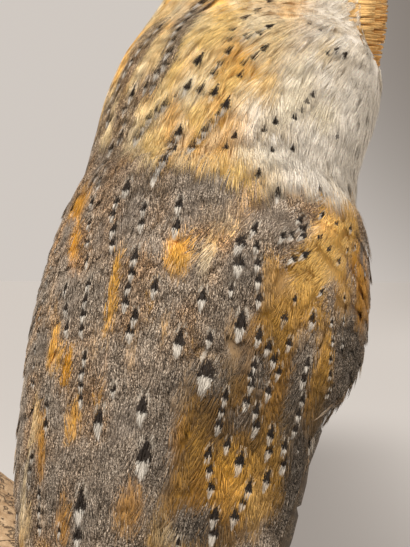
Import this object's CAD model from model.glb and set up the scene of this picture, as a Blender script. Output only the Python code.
import itertools
import math
import random

import bpy
import numpy as np
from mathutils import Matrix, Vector, noise
from mathutils.bvhtree import BVHTree
from mathutils.kdtree import KDTree


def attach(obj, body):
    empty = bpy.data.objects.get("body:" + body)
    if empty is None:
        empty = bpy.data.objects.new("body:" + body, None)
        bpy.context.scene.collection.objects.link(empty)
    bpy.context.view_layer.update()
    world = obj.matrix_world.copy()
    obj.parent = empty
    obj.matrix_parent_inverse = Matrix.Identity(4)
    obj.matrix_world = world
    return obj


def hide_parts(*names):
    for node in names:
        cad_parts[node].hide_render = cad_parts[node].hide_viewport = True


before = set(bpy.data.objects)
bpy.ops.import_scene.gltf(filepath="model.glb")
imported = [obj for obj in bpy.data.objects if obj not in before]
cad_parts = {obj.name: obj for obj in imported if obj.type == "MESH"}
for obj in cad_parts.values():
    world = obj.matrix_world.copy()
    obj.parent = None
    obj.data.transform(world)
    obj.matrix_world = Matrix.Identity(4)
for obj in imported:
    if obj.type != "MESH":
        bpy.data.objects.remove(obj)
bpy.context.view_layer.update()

# Sizes are in millimetres and meshes are written in metres
MM = 0.001
SEED = 11

# Colours of room, floor and lights, linear
ROOM_PALE = (0.63, 0.58, 0.535)
ROOM_DARK = (0.22, 0.19, 0.165)
FLOOR_PALE = (0.78, 0.76, 0.74)
FLOOR_DARK = (0.28, 0.255, 0.235)
FLOOR_SHADE = (0.36, 0.34, 0.325)
FLOOR_REACH = 30000
LAMP_COLOR = (1.0, 0.97, 0.93)
SUN_COLOR = (1.0, 0.965, 0.92)
SUN_POWER = 0.9
KEY_SIZE = 0.45
KEY_POWER = 2.6
FILL_SIZE = 0.10
FILL_POWER = 0.30

# The photograph's frame and camera
IMAGE_WIDTH = 410
IMAGE_HEIGHT = 547
LENS = 70.0
SENSOR = 36.0
VIEW_AZIMUTH = math.radians(202.0)
CAMERA_RISE = 94.0
CAMERA_BACK = 443.0
CAMERA_SIDE = 2.14

# The stand
BASE_RADIUS = 92.0
BASE_HEIGHT = 20.0
PERCH_TOP = 128.0
BRANCH_RADIUS = 23.0
BRANCH_FLAT_END = 48.0
BRANCH_RIGHT_END = -50.0
KNOB_REACH = 62.0
KNOB_RISE = 40.0
POST_RADIUS = 22.0

# The bird's leaning axis, and the sway of its lower part to the bird's left
LEAN = math.radians(25.0)
AXIS_BACK = 42.0
AXIS_UP = PERCH_TOP + 24.0
SWAY = ((130.0, 0.0), (100.0, 1.0), (60.0, 2.0), (30.0, 3.0), (8.0, 3.0), (-20.0, 1.5), (-70.0, 0.0))

# Height on the axis, radius of the back's arc, ridge of the back, depth of the belly
BODY_SECTIONS = (
    (170.0, 52.0, 46.0, 40.0),
    (150.0, 61.0, 49.0, 38.0),
    (130.0, 70.0, 50.5, 32.0),
    (110.0, 73.5, 51.5, 29.0),
    (90.0, 75.0, 51.5, 28.0),
    (70.0, 76.0, 50.0, 27.0),
    (50.0, 75.5, 47.5, 23.0),
    (30.0, 74.0, 44.0, 15.0),
    (10.0, 71.0, 40.5, 7.0),
    (-10.0, 67.0, 37.0, 3.0),
    (-50.0, 60.0, 31.0, 3.0),
    (-90.0, 52.0, 27.0, 3.0),
    (-140.0, 45.0, 24.0, 3.0),
)
WING_FRONT = (
    (135.0, 92.0),
    (125.0, 104.0),
    (110.0, 111.0),
    (90.0, 113.0),
    (70.0, 108.0),
    (54.0, 94.0),
    (40.0, 81.0),
    (23.0, 76.0),
    (-10.0, 64.0),
    (-50.0, 48.0),
    (-90.0, 33.0),
    (-120.0, 21.0),
    (-130.0, 14.0),
)
WING_THICKNESS = ((100.0, 16.5), (60.0, 14.0), (30.0, 9.0), (0.0, 5.0), (-30.0, 3.6))
WING_END = -30.0
TRUNK_SINK = 17.0
FLANK_SINK = 8.0
TRUNK_TAPER = ((85.0, 1.0), (66.0, 0.94), (50.0, 0.84), (35.0, 0.72), (20.0, 0.6), (8.0, 0.5))

# Flight feathers: depth of each tier under the wing's outer surface, roots and tips
SECONDARY_DEPTH = ((80.0, 11.0), (45.0, 7.2), (18.0, 4.0), (5.0, 2.6), (-10.0, 1.6), (-50.0, 0.6))
PRIMARY_DEPTH = (
    (64.0, 12.6), (18.0, 8.6), (-10.0, 6.2), (-28.0, 5.7), (-52.0, 5.1), (-90.0, 2.6), (-128.0, 0.8),
)
PRIMARY_STEP = ((60.0, 0.3), (18.0, 0.8))
PRIMARY_COUNT = 10
PRIMARY_WIDTH = 22.0
PRIMARY_ROOTS = ((87.0, 44.0), (79.0, 40.0))
PRIMARY_TIP_S = (22.0, 12.0)
PRIMARY_FIRST_TIP = -48.0
PRIMARY_TIP_SPREAD = 81.0
SECONDARY_COUNT = 11
SECONDARY_WIDTH = 24.0
SECONDARY_ROOTS = ((76.0, 40.0), (14.0, 34.0))
SECONDARY_TIPS = ((50.0, -26.0), (13.4, -52.0))
VANE_SHAPE = ((0.0, 0.5), (0.3, 0.9), (0.62, 1.0), (0.8, 0.92), (0.92, 0.68), (1.0, 0.16))

# The hood: height, centre right-left, centre front-back, half width, half depth
HOOD_RINGS = (
    (105.0, 0.0, -16.0, 59.0, 50.0),
    (124.0, 0.5, -18.0, 60.0, 51.0),
    (135.0, 0.5, -22.0, 59.5, 52.0),
    (154.0, -1.0, -34.0, 61.5, 54.0),
    (173.0, -1.5, -46.0, 62.5, 57.0),
    (193.0, -4.2, -53.0, 59.5, 55.0),
    (209.0, -1.0, -60.0, 49.0, 46.0),
    (224.0, 0.0, -65.0, 40.0, 38.0),
    (238.0, -1.0, -70.0, 27.0, 27.0),
    (245.0, -3.0, -72.0, 12.0, 12.0),
)
HOOD_EDGE = 127.0
HOOD_EDGE_MIDDLE = -18.0
HOOD_EDGE_NORMAL = (-0.1, 0.07, 1.0)

# The turned head and its disc, in the head's own axes
HEAD_TURN = math.radians(58.0)
HEAD_CENTRE = (-23.0, -76.5, 209.0)
HEAD_BACK = 52.0
HEAD_SIDE = 48.0
HEAD_TALL = 49.0
FACE_PLANE = 14.0
NECK_CUT_DROP = 20.0
DISC_HALF_WIDTH = 42.0
DISC_TOP = 43.0
DISC_BOTTOM = 40.0
DISC_NOTCH = 7.5
DISC_RIM_DEPTH = 11.0
DISC_HOLLOW = 6.0
EYE_RADIUS = 8.2
EYE_SIDE = 16.5
EYE_UP = 4.0
EYE_FORWARD = 15.5
RUFF_ROOT = 3.0
BILL_FORWARD = 18.5
BILL_UP = -5.0
BILL_RADIUS = 4.4

# Tail, legs and feet
TAIL_TIP = -112.0
TAIL_RISE = 5.0
TAIL_RISE_SLOPE = 0.05
TAIL_PAIRS = 6
TAIL_WIDTH = 20.0
LEG_SIDE = 21.0
LEG_TOP = 52.0
LEG_RADIUS = 15.0
ANKLE_RADIUS = 8.5
ANKLE_HEIGHT = 12.0
TOE_RADIUS = 4.2
TOE_SPREAD = {"outer": 15.0, "middle": 2.0, "inner": -12.0, "hind": 0.0}
TOE_REACH = {"outer": 62.0, "middle": 74.0, "inner": 66.0, "hind": -58.0}
CLAW_ARC = 34.0
CLAW_RADIUS = 2.6

# Plumage colours, linear
GOLD = (0.68, 0.36, 0.055)
DEEP_GOLD = (0.60, 0.27, 0.012)
CREAM = (0.80, 0.62, 0.36)
WHITE = (0.96, 0.89, 0.78)
BUFF_HOOD = (0.95, 0.72, 0.37)
GOLD_HOOD = (0.88, 0.51, 0.14)
STRAW = (0.92, 0.76, 0.50)
SILVER = (0.60, 0.56, 0.53)
RUST = (0.42, 0.19, 0.065)
DUSK = (0.10, 0.06, 0.025)
NAPE_GOLD = (0.60, 0.37, 0.14)
CROWN_GOLD = (0.58, 0.35, 0.12)
WING_GOLD = (0.50, 0.32, 0.12)
TAIL_GOLD = (0.55, 0.33, 0.12)
PRIMARY_BROWN = (0.12, 0.085, 0.05)
SECONDARY_BROWN = (0.14, 0.10, 0.06)
INNER_WEB = (0.66, 0.55, 0.40)
BAR_BROWN = (0.06, 0.045, 0.035)
QUILL = (0.30, 0.22, 0.13)
CALM_GREY = (0.235, 0.20, 0.165, 1.0)
MARK_DARK = (0.026, 0.017, 0.011, 1.0)
MARK_PALE = (0.74, 0.68, 0.59, 1.0)
MARK_SHOULDER = (0.62, 0.55, 0.45, 1.0)

# Coat styles: spacing, length, width, strands in a tuft, tip's lift
STYLES = {
    "head": (3.2, 10.0, 5.4, 21, 0.4),
    "hood": (4.8, 19.0, 9.5, 50, 0.4),
    "throat": (5.2, 21.0, 9.5, 54, 1.2),
    "belly": (5.8, 16.0, 9.5, 21, 1.5),
    "leg": (3.3, 8.0, 3.6, 12, 1.2),
    "disc": (2.6, 6.5, 2.6, 13, 0.35),
    "lesser": (5.8, 13.0, 10.0, 86, 0.35),
    "back": (7.4, 19.0, 14.0, 148, 0.4),
    "low": (9.8, 27.0, 18.5, 200, 0.45),
}
VANED = ("lesser", "back", "low")

# Forms are fused on a grid of cubes of this size and smoothed this many times
SKIN_VOXEL = 1.9
SKIN_ROUNDS = 6
PERCH_VOXEL = 1.3
PERCH_ROUNDS = 3
FOOT_VOXEL = 0.62
FOOT_ROUNDS = 1

# Borders of the coat's zones: heights on the axis, share of the wing's width, reach of the crown
LOW_HEIGHT = 42.0
LESSER_HEIGHT = 62.0
LESSER_FROM = 0.62
CROWN_REACH = 58.0
CROWN_LOW = -12.0

# Search for room for each feather on the form
SURFACE_SAMPLES = 70000
GRID_CELL = 10.0

# Drop marks: scale on vaned and on other feathers, distance from the tip in units of their size
MARK_SCALE_VANED = 1.35
MARK_SCALE = 1.85
MARK_FROM_TIP = 3.2
LONG_MARK_FROM_TIP = 4.2
MARK_WOBBLE = 1.2
MARK_REACH = 8.0
MARK_ROOM = 2.0
MARK_ROOM_BY_SIZE = 2.2

# Strands: widths by zone, strands in a piece, sink at the root and the straw-coloured shine of some
STRAND_WIDTHS = {"belly": 0.42, "disc": 0.26, "leg": 0.36, "hood": 0.27, "head": 0.27, "throat": 0.28}
STRAND_WIDTH = 0.36
STRAND_STATIONS = 3
STRANDS_A_PIECE = 18000
STRAND_SINK = 0.9
SHINE_VANED = 0.14
SHINE = 0.4

# Each tuft's own square on the unwrap, and the size on the bird that fills it
PATCH = 0.003
PATCH_ACROSS = 20.0
PATCH_DOWN = 30.0

# Softness of the edges of ellipses in the photograph
SWEEP_SOFTNESS = 0.5
GREY_SOFTNESS = 0.6
COLOR_SOFTNESS = 0.7
SHADE_SOFTNESS = 0.8
EDGE_RAGGED = 9.0

random.seed(SEED)
rng = np.random.default_rng(SEED)


def smooth_value(table, height, column=1):
    """A smooth curve through one column of a table sorted from high to low."""
    rows = table if table[0][0] < table[-1][0] else table[::-1]
    if height <= rows[0][0]:
        return rows[0][column]
    if height >= rows[-1][0]:
        return rows[-1][column]
    i = 0
    while rows[i + 1][0] < height:
        i += 1
    before = rows[max(i - 1, 0)]
    low = rows[i]
    high = rows[i + 1]
    after = rows[min(i + 2, len(rows) - 1)]
    span = high[0] - low[0]
    t = (height - low[0]) / span
    slope_low = (high[column] - before[column]) / (high[0] - before[0]) * span
    slope_high = (after[column] - low[column]) / (after[0] - low[0]) * span
    rise = high[column] - low[column]
    cubic = (slope_low + slope_high - 2 * rise) * t**3
    square = (3 * rise - 2 * slope_low - slope_high) * t**2
    return low[column] + slope_low * t + square + cubic


def ramp(low, high, value):
    """0 below low, 1 above high, smooth between them."""
    t = np.clip((value - low) / (high - low), 0.0, 1.0)
    return t * t * (3.0 - 2.0 * t)


def from_body(x, depth, height):
    y = AXIS_BACK - height * math.sin(LEAN) + depth * math.cos(LEAN)
    z = AXIS_UP + height * math.cos(LEAN) + depth * math.sin(LEAN)
    return Vector((x + smooth_value(SWAY, height), y, z))


def on_back(s, height, lift=0.0, side=1):
    """A point on the arc of the back, s along it from the ridge, raised by lift."""
    radius = smooth_value(BODY_SECTIONS, height, 1)
    ridge = smooth_value(BODY_SECTIONS, height, 2)
    angle = s / radius
    x = (radius + lift) * math.sin(angle)
    depth = ridge - radius + (radius + lift) * math.cos(angle)
    return from_body(side * x, depth, height)


def to_body(p):
    """Arc length from the ridge, height on the axis and lift over the back of a world point."""
    ahead = p[1] - AXIS_BACK
    above = p[2] - AXIS_UP
    height = above * math.cos(LEAN) - ahead * math.sin(LEAN)
    depth = above * math.sin(LEAN) + ahead * math.cos(LEAN)
    x = p[0] - smooth_value(SWAY, height)
    radius = smooth_value(BODY_SECTIONS, height, 1)
    centre = smooth_value(BODY_SECTIONS, height, 2) - radius
    angle = math.atan2(x, depth - centre)
    return angle * radius, height, math.hypot(x, depth - centre) - radius


HEAD_FORWARD = Vector((-math.sin(HEAD_TURN), -math.cos(HEAD_TURN), 0.0))
HEAD_ACROSS = Vector((math.cos(HEAD_TURN), -math.sin(HEAD_TURN), 0.0))
HEAD_MIDDLE = Vector((HEAD_CENTRE[0], HEAD_CENTRE[1], HEAD_CENTRE[2] + AXIS_UP))


def on_head(side, forward, up):
    return HEAD_MIDDLE + HEAD_ACROSS * side + HEAD_FORWARD * forward + Vector((0, 0, up))


def in_head(p):
    """Side, forward and up of a world point in the head's axes."""
    d = Vector(p) - HEAD_MIDDLE
    return d.dot(HEAD_ACROSS), d.dot(HEAD_FORWARD), d.z


def disc_radius(angle, margin=0.0):
    """Heart shape of the facial disc, angle from straight up."""
    up = math.cos(angle)
    tall = DISC_TOP if up > 0 else DISC_BOTTOM
    radius = 1.0 / math.hypot(math.sin(angle) / DISC_HALF_WIDTH, up / tall)
    turn = angle % (2 * math.pi)
    turn = min(turn, 2 * math.pi - turn)
    notch = DISC_NOTCH * math.exp(-(turn / 0.3) ** 2)
    chin = 5.0 * math.exp(-((turn - 2.3) / 0.5) ** 2)
    return radius - notch - chin + margin


def disc_height(side, up, share):
    """How far the disc stands forward of its back."""
    bowl = DISC_RIM_DEPTH - DISC_HOLLOW * (1 - share**2.2)
    ridge = 6.5 * math.exp(-(side / 6.5) ** 2) * (1.0 if up < 14 else math.exp(-((up - 14) / 14) ** 2))
    ridge *= 1.0 if up > -16 else math.exp(-((up + 16) / 8) ** 2)
    return bowl + ridge * (1 - share**3)


# Meshes from rings and grids

def turns(count):
    """Angles evenly round a circle."""
    return [2 * math.pi * j / count for j in range(count)]


def linked(name, data):
    """A new object put into the scene."""
    made = bpy.data.objects.new(name, data)
    bpy.context.scene.collection.objects.link(made)
    return made


def mesh_object(name, points, faces):
    mesh = bpy.data.meshes.new(name)
    mesh.from_pydata([Vector(p) * MM for p in points], [], faces)
    mesh.validate()
    mesh.shade_smooth()
    return linked(name, mesh)


def vectors(items, name):
    """One vector for each item of a mesh, as rows of an array."""
    values = np.empty(len(items) * 3)
    items.foreach_get(name, values)
    return values.reshape(-1, 3)


def add_colors(mesh, name, colors):
    layer = mesh.color_attributes.new(name, "FLOAT_COLOR", "POINT")
    layer.data.foreach_set("color", colors.astype(np.float32).ravel())


def add_spots(mesh, spots):
    layer = mesh.attributes.new("spot", "FLOAT_VECTOR", "POINT")
    layer.data.foreach_set("vector", spots.astype(np.float32).ravel())


def add_unwrap(mesh, places):
    layer = mesh.uv_layers.new(name="OFBake")
    layer.data.foreach_set("uv", places.astype(np.float32).ravel())


def rim_of(rows, columns):
    """Numbers of the points round the edge of a grid."""
    rim = list(range(columns))
    rim += [i * columns + columns - 1 for i in range(1, rows)]
    rim += [(rows - 1) * columns + j for j in range(columns - 2, -1, -1)]
    rim += [i * columns for i in range(rows - 2, 0, -1)]
    return rim


def loft(name, rings):
    """Closed rings of equally many points joined in order, with a fan at each end."""
    count = len(rings[0])
    points = [p for ring in rings for p in ring]
    faces = []
    for i in range(len(rings) - 1):
        for j in range(count):
            k = (j + 1) % count
            a = i * count
            b = a + count
            faces.append((a + j, a + k, b + k, b + j))
    for start, turned in ((0, True), ((len(rings) - 1) * count, False)):
        ring = points[start:start + count]
        middle = len(points)
        points.append(sum((Vector(p) for p in ring), Vector()) / count)
        for j in range(count):
            k = (j + 1) % count
            face = (start + j, middle, start + k) if turned else (start + j, start + k, middle)
            faces.append(face)
    return mesh_object(name, points, faces)


def shell(name, outer, inner):
    """A closed plate between two grids of points, rows by columns."""
    rows = len(outer)
    columns = len(outer[0])
    points = [p for row in outer for p in row] + [p for row in inner for p in row]
    under = rows * columns
    faces = []
    for i in range(rows - 1):
        for j in range(columns - 1):
            a = i * columns + j
            faces.append((a, a + 1, a + columns + 1, a + columns))
            faces.append((under + a, under + a + columns, under + a + columns + 1, under + a + 1))
    rim = rim_of(rows, columns)
    for n, a in enumerate(rim):
        b = rim[(n + 1) % len(rim)]
        faces.append((b, a, under + a, under + b))
    return mesh_object(name, points, faces)


def tube(name, route, radii, sides=20):
    rings = []
    for i, point in enumerate(route):
        ahead = Vector(route[min(i + 1, len(route) - 1)]) - Vector(route[max(i - 1, 0)])
        ahead.normalize()
        first = ahead.orthogonal() if i == 0 else first - ahead * first.dot(ahead)
        first.normalize()
        second = ahead.cross(first)
        rings.append([Vector(point) + (first * math.cos(b) + second * math.sin(b)) * radii[i]
                      for b in turns(sides)])
    return loft(name, rings)


# The body's own form, which the skin and every feather follow

def trunk_form():
    rings = []
    for i in range(40):
        height = 168.0 - 160.0 * i / 39
        radius = smooth_value(BODY_SECTIONS, height, 1)
        ridge = smooth_value(BODY_SECTIONS, height, 2)
        belly = smooth_value(BODY_SECTIONS, height, 3)
        closing = smooth_value(TRUNK_TAPER, height)
        front = smooth_value(WING_FRONT, height) / radius
        ring = []
        for angle in turns(72):
            folded = angle if angle <= math.pi else 2 * math.pi - angle
            cover = 1.0 - min(max((folded - front) / 0.25, 0.0), 1.0)
            sunk = TRUNK_SINK * cover + FLANK_SINK * (1.0 - cover) * abs(math.sin(angle))
            down = radius if math.cos(angle) >= 0 else belly
            x = (radius - sunk) * math.sin(angle)
            depth = (down - sunk * (down / radius)) * math.cos(angle)
            middle = 0.4 * ridge
            depth = middle + (ridge - radius + depth - middle) * closing
            ring.append(from_body(x * closing, depth, height))
        rings.append(ring)
    return loft("trunk_form", rings)


def wings_form():
    """Both wings and the mantle between them as one cape over the trunk."""
    across = 81
    down = 44
    outer = []
    inner = []
    for i in range(down):
        height = 134.0 + (WING_END - 134.0) * i / (down - 1)
        front = smooth_value(WING_FRONT, height)
        thick = smooth_value(WING_THICKNESS, height)
        row_out = []
        row_in = []
        for j in range(across):
            q = 2.0 * j / (across - 1) - 1.0
            edge = 0.5 * thick * 0.75 * abs(q) ** 7
            row_out.append(on_back(front * q, height, -edge))
            row_in.append(on_back(front * q, height, edge - thick))
        outer.append(row_out)
        inner.append(row_in)
    return shell("wings_form", outer, inner)


def clear_of_face(p):
    """A point of hood or skull drawn back behind the disc."""
    side, forward, up = in_head(p)
    angle = math.atan2(side, up)
    room = math.hypot(side, up) < disc_radius(angle, 7.5)
    if up > -NECK_CUT_DROP:
        forward = min(forward, FACE_PLANE)
    elif room:
        forward = min(forward, RUFF_ROOT + 2.0)
    return on_head(side, forward, up)


def hood_form():
    rings = []
    for i in range(48):
        height = 105.0 + 139.5 * i / 47
        cx, cy, rx, ry = (smooth_value(HOOD_RINGS, height, c) for c in (1, 2, 3, 4))
        ring = []
        for b in turns(72):
            p = Vector((cx + rx * math.cos(b), cy + ry * math.sin(b), AXIS_UP + height))
            ring.append(clear_of_face(p))
        rings.append(ring)
    return loft("hood_form", rings)


def skull_form():
    rings = []
    for i in range(1, 32):
        a = math.pi * i / 32
        ring = []
        for b in turns(64):
            side = HEAD_SIDE * math.sin(a) * math.cos(b)
            forward = min(HEAD_BACK * math.sin(a) * math.sin(b), FACE_PLANE)
            ring.append(on_head(side, forward, HEAD_TALL * math.cos(a)))
        rings.append(ring)
    return loft("skull_form", rings)


def disc_form():
    """The face's bowl, from behind the ruff to the rim."""
    angles = turns(96)
    rings = []
    for share, forward in ((0.96, RUFF_ROOT), (1.0, FACE_PLANE + DISC_RIM_DEPTH)):
        ring = []
        for angle in angles:
            radius = disc_radius(angle) * share
            ring.append(on_head(radius * math.sin(angle), forward, radius * math.cos(angle)))
        rings.append(ring)
    for i in range(1, 24):
        share = 1.0 - i / 24.0
        ring = []
        for angle in angles:
            radius = disc_radius(angle) * share
            side = radius * math.sin(angle)
            up = radius * math.cos(angle)
            ring.append(on_head(side, FACE_PLANE + disc_height(side, up, share), up))
        rings.append(ring)
    return loft("disc_form", rings)


def leg_route(side):
    foot_top = PERCH_TOP + ANKLE_HEIGHT
    start = from_body(side * LEG_SIDE, -14.0, LEG_TOP)
    end = Vector((side * LEG_SIDE, 0.0, foot_top + 1.0))
    middle = start.lerp(end, 0.55) + Vector((0, -3.0, 0))
    low = Vector((side * LEG_SIDE, 0.0, foot_top + 6.0))
    return start, middle, low, end


def leg_form(side):
    radii = (LEG_RADIUS - 1.5, LEG_RADIUS - 1.5, ANKLE_RADIUS - 1.2, ANKLE_RADIUS - 1.8)
    return tube("leg_form", leg_route(side), radii, 24)


def apply_modifiers(target):
    graph = bpy.context.evaluated_depsgraph_get()
    result = bpy.data.meshes.new_from_object(target.evaluated_get(graph))
    target.modifiers.clear()
    target.data = result
    result.name = target.name


def fuse(name, forms, voxel, rounds):
    """Several closed forms fused into one smoothed surface."""
    points = []
    faces = []
    for form in forms:
        start = len(points)
        points += [v.co.copy() for v in form.data.vertices]
        faces += [tuple(start + v for v in face.vertices) for face in form.data.polygons]
        bpy.data.objects.remove(form)
    mesh = bpy.data.meshes.new(name)
    mesh.from_pydata(points, [], faces)
    made = linked(name, mesh)
    step = made.modifiers.new("fuse", "REMESH")
    step.mode = "VOXEL"
    step.voxel_size = voxel * MM
    soften = made.modifiers.new("soften", "SMOOTH")
    soften.factor = 0.5
    soften.iterations = rounds
    apply_modifiers(made)
    made.data.shade_smooth()
    return made


def body_form():
    """All forms fused and smoothed into one closed surface."""
    forms = [trunk_form(), wings_form(), hood_form(), skull_form(), disc_form(), leg_form(1), leg_form(-1)]
    return fuse("skin", forms, SKIN_VOXEL, SKIN_ROUNDS)


class Guide:
    """Nearest points and normals on the body's outer form, in millimetres."""

    def __init__(self, source):
        mesh = source.data
        mesh.calc_loop_triangles()
        self.points = vectors(mesh.vertices, "co") / MM
        corners = np.empty(len(mesh.loop_triangles) * 3, dtype=np.int32)
        mesh.loop_triangles.foreach_get("vertices", corners)
        self.triangles = corners.reshape(-1, 3)
        self.tree = BVHTree.FromPolygons(self.points.tolist(), self.triangles.tolist())

    def nearest(self, p):
        return self.tree.find_nearest(p)[:2]

    def conform(self, flat, lifts):
        """Points brought onto the form and raised by their lifts."""
        out = np.empty_like(flat)
        for i, p in enumerate(flat.tolist()):
            found, normal = self.nearest(p)
            lift = lifts[i]
            out[i, 0] = found[0] + normal[0] * lift
            out[i, 1] = found[1] + normal[1] * lift
            out[i, 2] = found[2] + normal[2] * lift
        return out


skin = body_form()
guide = Guide(skin)


# The camera, also used to put each marking where the photograph shows it

VIEW = Vector((-math.sin(VIEW_AZIMUTH), math.cos(VIEW_AZIMUTH), 0.0))
RIGHT = Vector((math.cos(VIEW_AZIMUTH), math.sin(VIEW_AZIMUTH), 0.0))
EYE_POINT = Vector((0, 0, AXIS_UP + CAMERA_RISE)) - VIEW * CAMERA_BACK + RIGHT * CAMERA_SIDE
FOCUS = IMAGE_HEIGHT / SENSOR * LENS


def to_photo(points):
    """Pixel columns and rows of world points, as arrays."""
    d = np.asarray(points) - np.array(EYE_POINT)
    depth = d @ np.array(VIEW)
    px = IMAGE_WIDTH / 2 + FOCUS * (d @ np.array(RIGHT)) / depth
    py = IMAGE_HEIGHT / 2 - FOCUS * d[:, 2] / depth
    return px, py


def on_photo(px, py):
    """The first point of the form behind a pixel, with its normal, or None."""
    ray = VIEW + RIGHT * ((px - IMAGE_WIDTH / 2) / FOCUS)
    ray += Vector((0, 0, 1)) * ((IMAGE_HEIGHT / 2 - py) / FOCUS)
    return guide.tree.ray_cast(EYE_POINT, ray.normalized())[:2]


# In the photograph: row of the hood's lower edge by column, column of the white's left edge by row
HOOD_BORDER = (
    (60.0, 124.0), (100.0, 144.0), (118.0, 157.0), (140.0, 168.0), (165.0, 175.0), (190.0, 172.0),
    (215.0, 178.0), (240.0, 188.0), (262.0, 196.0), (285.0, 192.0), (310.0, 198.0), (330.0, 204.0),
    (352.0, 206.0), (400.0, 206.0),
)
WHITE_BORDER = (
    (-60.0, 312.0), (0.0, 310.0), (30.0, 304.0), (60.0, 292.0), (85.0, 276.0), (110.0, 256.0),
    (140.0, 242.0), (165.0, 262.0), (200.0, 300.0),
)

PATCH_COLORS = {
    "gold": GOLD, "deep": DEEP_GOLD, "cream": CREAM,
    "buff": (0.72, 0.42, 0.13), "light": (0.76, 0.47, 0.13), "straw": (0.78, 0.68, 0.46),
    "amber": (0.88, 0.50, 0.11), "honey": (0.92, 0.65, 0.23), "ivory": (0.95, 0.85, 0.64),
    "bright": (0.80, 0.42, 0.055), "brown": (0.20, 0.095, 0.015), "umber": (0.34, 0.19, 0.045),
}

# Patches of colour, ellipses in the photograph: column, row, half width, half height, lean from
# upright in degrees, colour and strength. Later ones lie over earlier ones.
GOLD_PATCHES = (
    (228, 440, 70, 110, 0, "umber", 0.3), (322, 440, 16, 60, 8, "umber", 0.45),
    (326, 325, 14, 20, 0, "umber", 0.4), (222, 402, 44, 46, 0, "umber", 0.5),
    (200, 520, 44, 44, 10, "umber", 0.55), (300, 345, 34, 36, 0, "umber", 0.4),
    (298, 445, 20, 54, 10, "umber", 0.5), (130, 525, 30, 24, 0, "umber", 0.4),
    (150, 190, 24, 10, 0, "umber", 0.4), (255, 520, 22, 24, 0, "umber", 0.4),
    (180, 470, 22, 40, 14, "umber", 0.4), (120, 365, 24, 30, 0, "umber", 0.2),
    (78, 205, 8, 18, 20, "deep", 0.9), (75, 248, 5, 28, 8, "deep", 0.8),
    (113, 292, 6, 46, 6, "gold", 1.0), (177, 257, 15, 25, 5, "gold", 1.0),
    (206, 258, 7, 24, 12, "cream", 0.8), (226, 224, 26, 10, 30, "straw", 0.4),
    (54, 345, 7, 27, 8, "gold", 1.0), (67, 371, 5, 22, 8, "deep", 0.9), (72, 425, 8, 22, 5, "gold", 1.0),
    (62, 525, 8, 24, 0, "deep", 0.9), (130, 505, 13, 28, 12, "deep", 0.8),
    (187, 430, 12, 36, 18, "deep", 1.0), (205, 468, 26, 38, 10, "deep", 0.9),
    (238, 455, 18, 30, 0, "deep", 0.8), (262, 462, 16, 32, 0, "gold", 0.75),
    (226, 464, 18, 30, 8, "bright", 0.9), (246, 492, 13, 26, 8, "bright", 0.8),
    (187, 452, 10, 40, 16, "brown", 0.85), (172, 476, 5, 26, 16, "brown", 0.6),
    (240, 423, 12, 16, 0, "brown", 0.6), (222, 421, 11, 24, 0, "brown", 0.9),
    (207, 396, 14, 18, 10, "brown", 0.5), (256, 434, 9, 22, 5, "brown", 0.6),
    (243, 398, 14, 20, 0, "brown", 0.6), (184, 526, 17, 28, 14, "brown", 0.8),
    (193, 500, 9, 30, 14, "deep", 0.7), (205, 545, 26, 8, 0, "brown", 0.5),
    (287, 470, 5, 50, 14, "brown", 0.6), (262, 392, 8, 24, 0, "brown", 0.4),
    (236, 335, 10, 26, 0, "brown", 0.35), (270, 345, 8, 24, 0, "brown", 0.4),
    (222, 535, 14, 14, 0, "brown", 0.5), (293, 252, 6, 26, 10, "brown", 0.3),
    (113, 292, 3.5, 40, 6, "bright", 0.7), (56, 345, 4, 22, 8, "bright", 0.6),
    (66, 428, 4, 20, 8, "bright", 0.6), (188, 414, 5, 18, 20, "bright", 0.6),
    (226, 505, 20, 26, 0, "deep", 0.85), (256, 514, 13, 30, 0, "buff", 1.0),
    (311, 405, 5, 24, 12, "deep", 0.9), (283, 375, 8, 34, 10, "deep", 0.9),
    (320, 385, 7, 44, 8, "gold", 0.9), (284, 312, 20, 38, 12, "gold", 0.95),
    (319, 262, 22, 40, 22, "light", 1.0), (337, 234, 19, 34, 5, "light", 1.0),
    (270, 278, 11, 24, 12, "gold", 0.8), (361, 298, 6, 48, 0, "deep", 0.9),
    (345, 300, 8, 28, 0, "gold", 0.8), (170, 540, 16, 16, 0, "cream", 0.8),
    (24, 515, 5, 44, 0, "cream", 0.9), (40, 450, 5, 44, 0, "deep", 0.8),
    (165, 330, 5, 22, 12, "gold", 0.6), (248, 205, 12, 9, 0, "gold", 0.5),
    (132, 350, 6, 30, 8, "gold", 0.5), (95, 340, 5, 30, 8, "gold", 0.45),
    (255, 345, 11, 30, 5, "deep", 0.6), (31, 455, 2.6, 56, 8, "cream", 0.95),
    (272, 400, 8, 34, 5, "deep", 0.7), (240, 395, 8, 30, 10, "deep", 0.5),
    (215, 420, 8, 26, 10, "deep", 0.6), (150, 300, 5, 24, 6, "gold", 0.4),
    (100, 385, 5, 28, 8, "deep", 0.5), (52, 300, 4, 26, 10, "gold", 0.5),
    (180, 390, 6, 24, 14, "gold", 0.45), (232, 345, 6, 24, 4, "gold", 0.45),
    (175, 500, 8, 26, 14, "deep", 0.5), (196, 448, 8, 26, 18, "bright", 0.9),
    (234, 472, 13, 14, 0, "bright", 0.9), (211, 480, 8, 22, 8, "bright", 0.7),
    (244, 494, 12, 16, 0, "amber", 0.6), (181, 484, 7, 22, 14, "bright", 0.5),
    (217, 440, 12, 16, 0, "brown", 0.55), (248, 444, 8, 20, 0, "brown", 0.5),
    (226, 502, 10, 12, 0, "amber", 0.4), (255, 512, 10, 18, 0, "light", 0.5),
)
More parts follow.
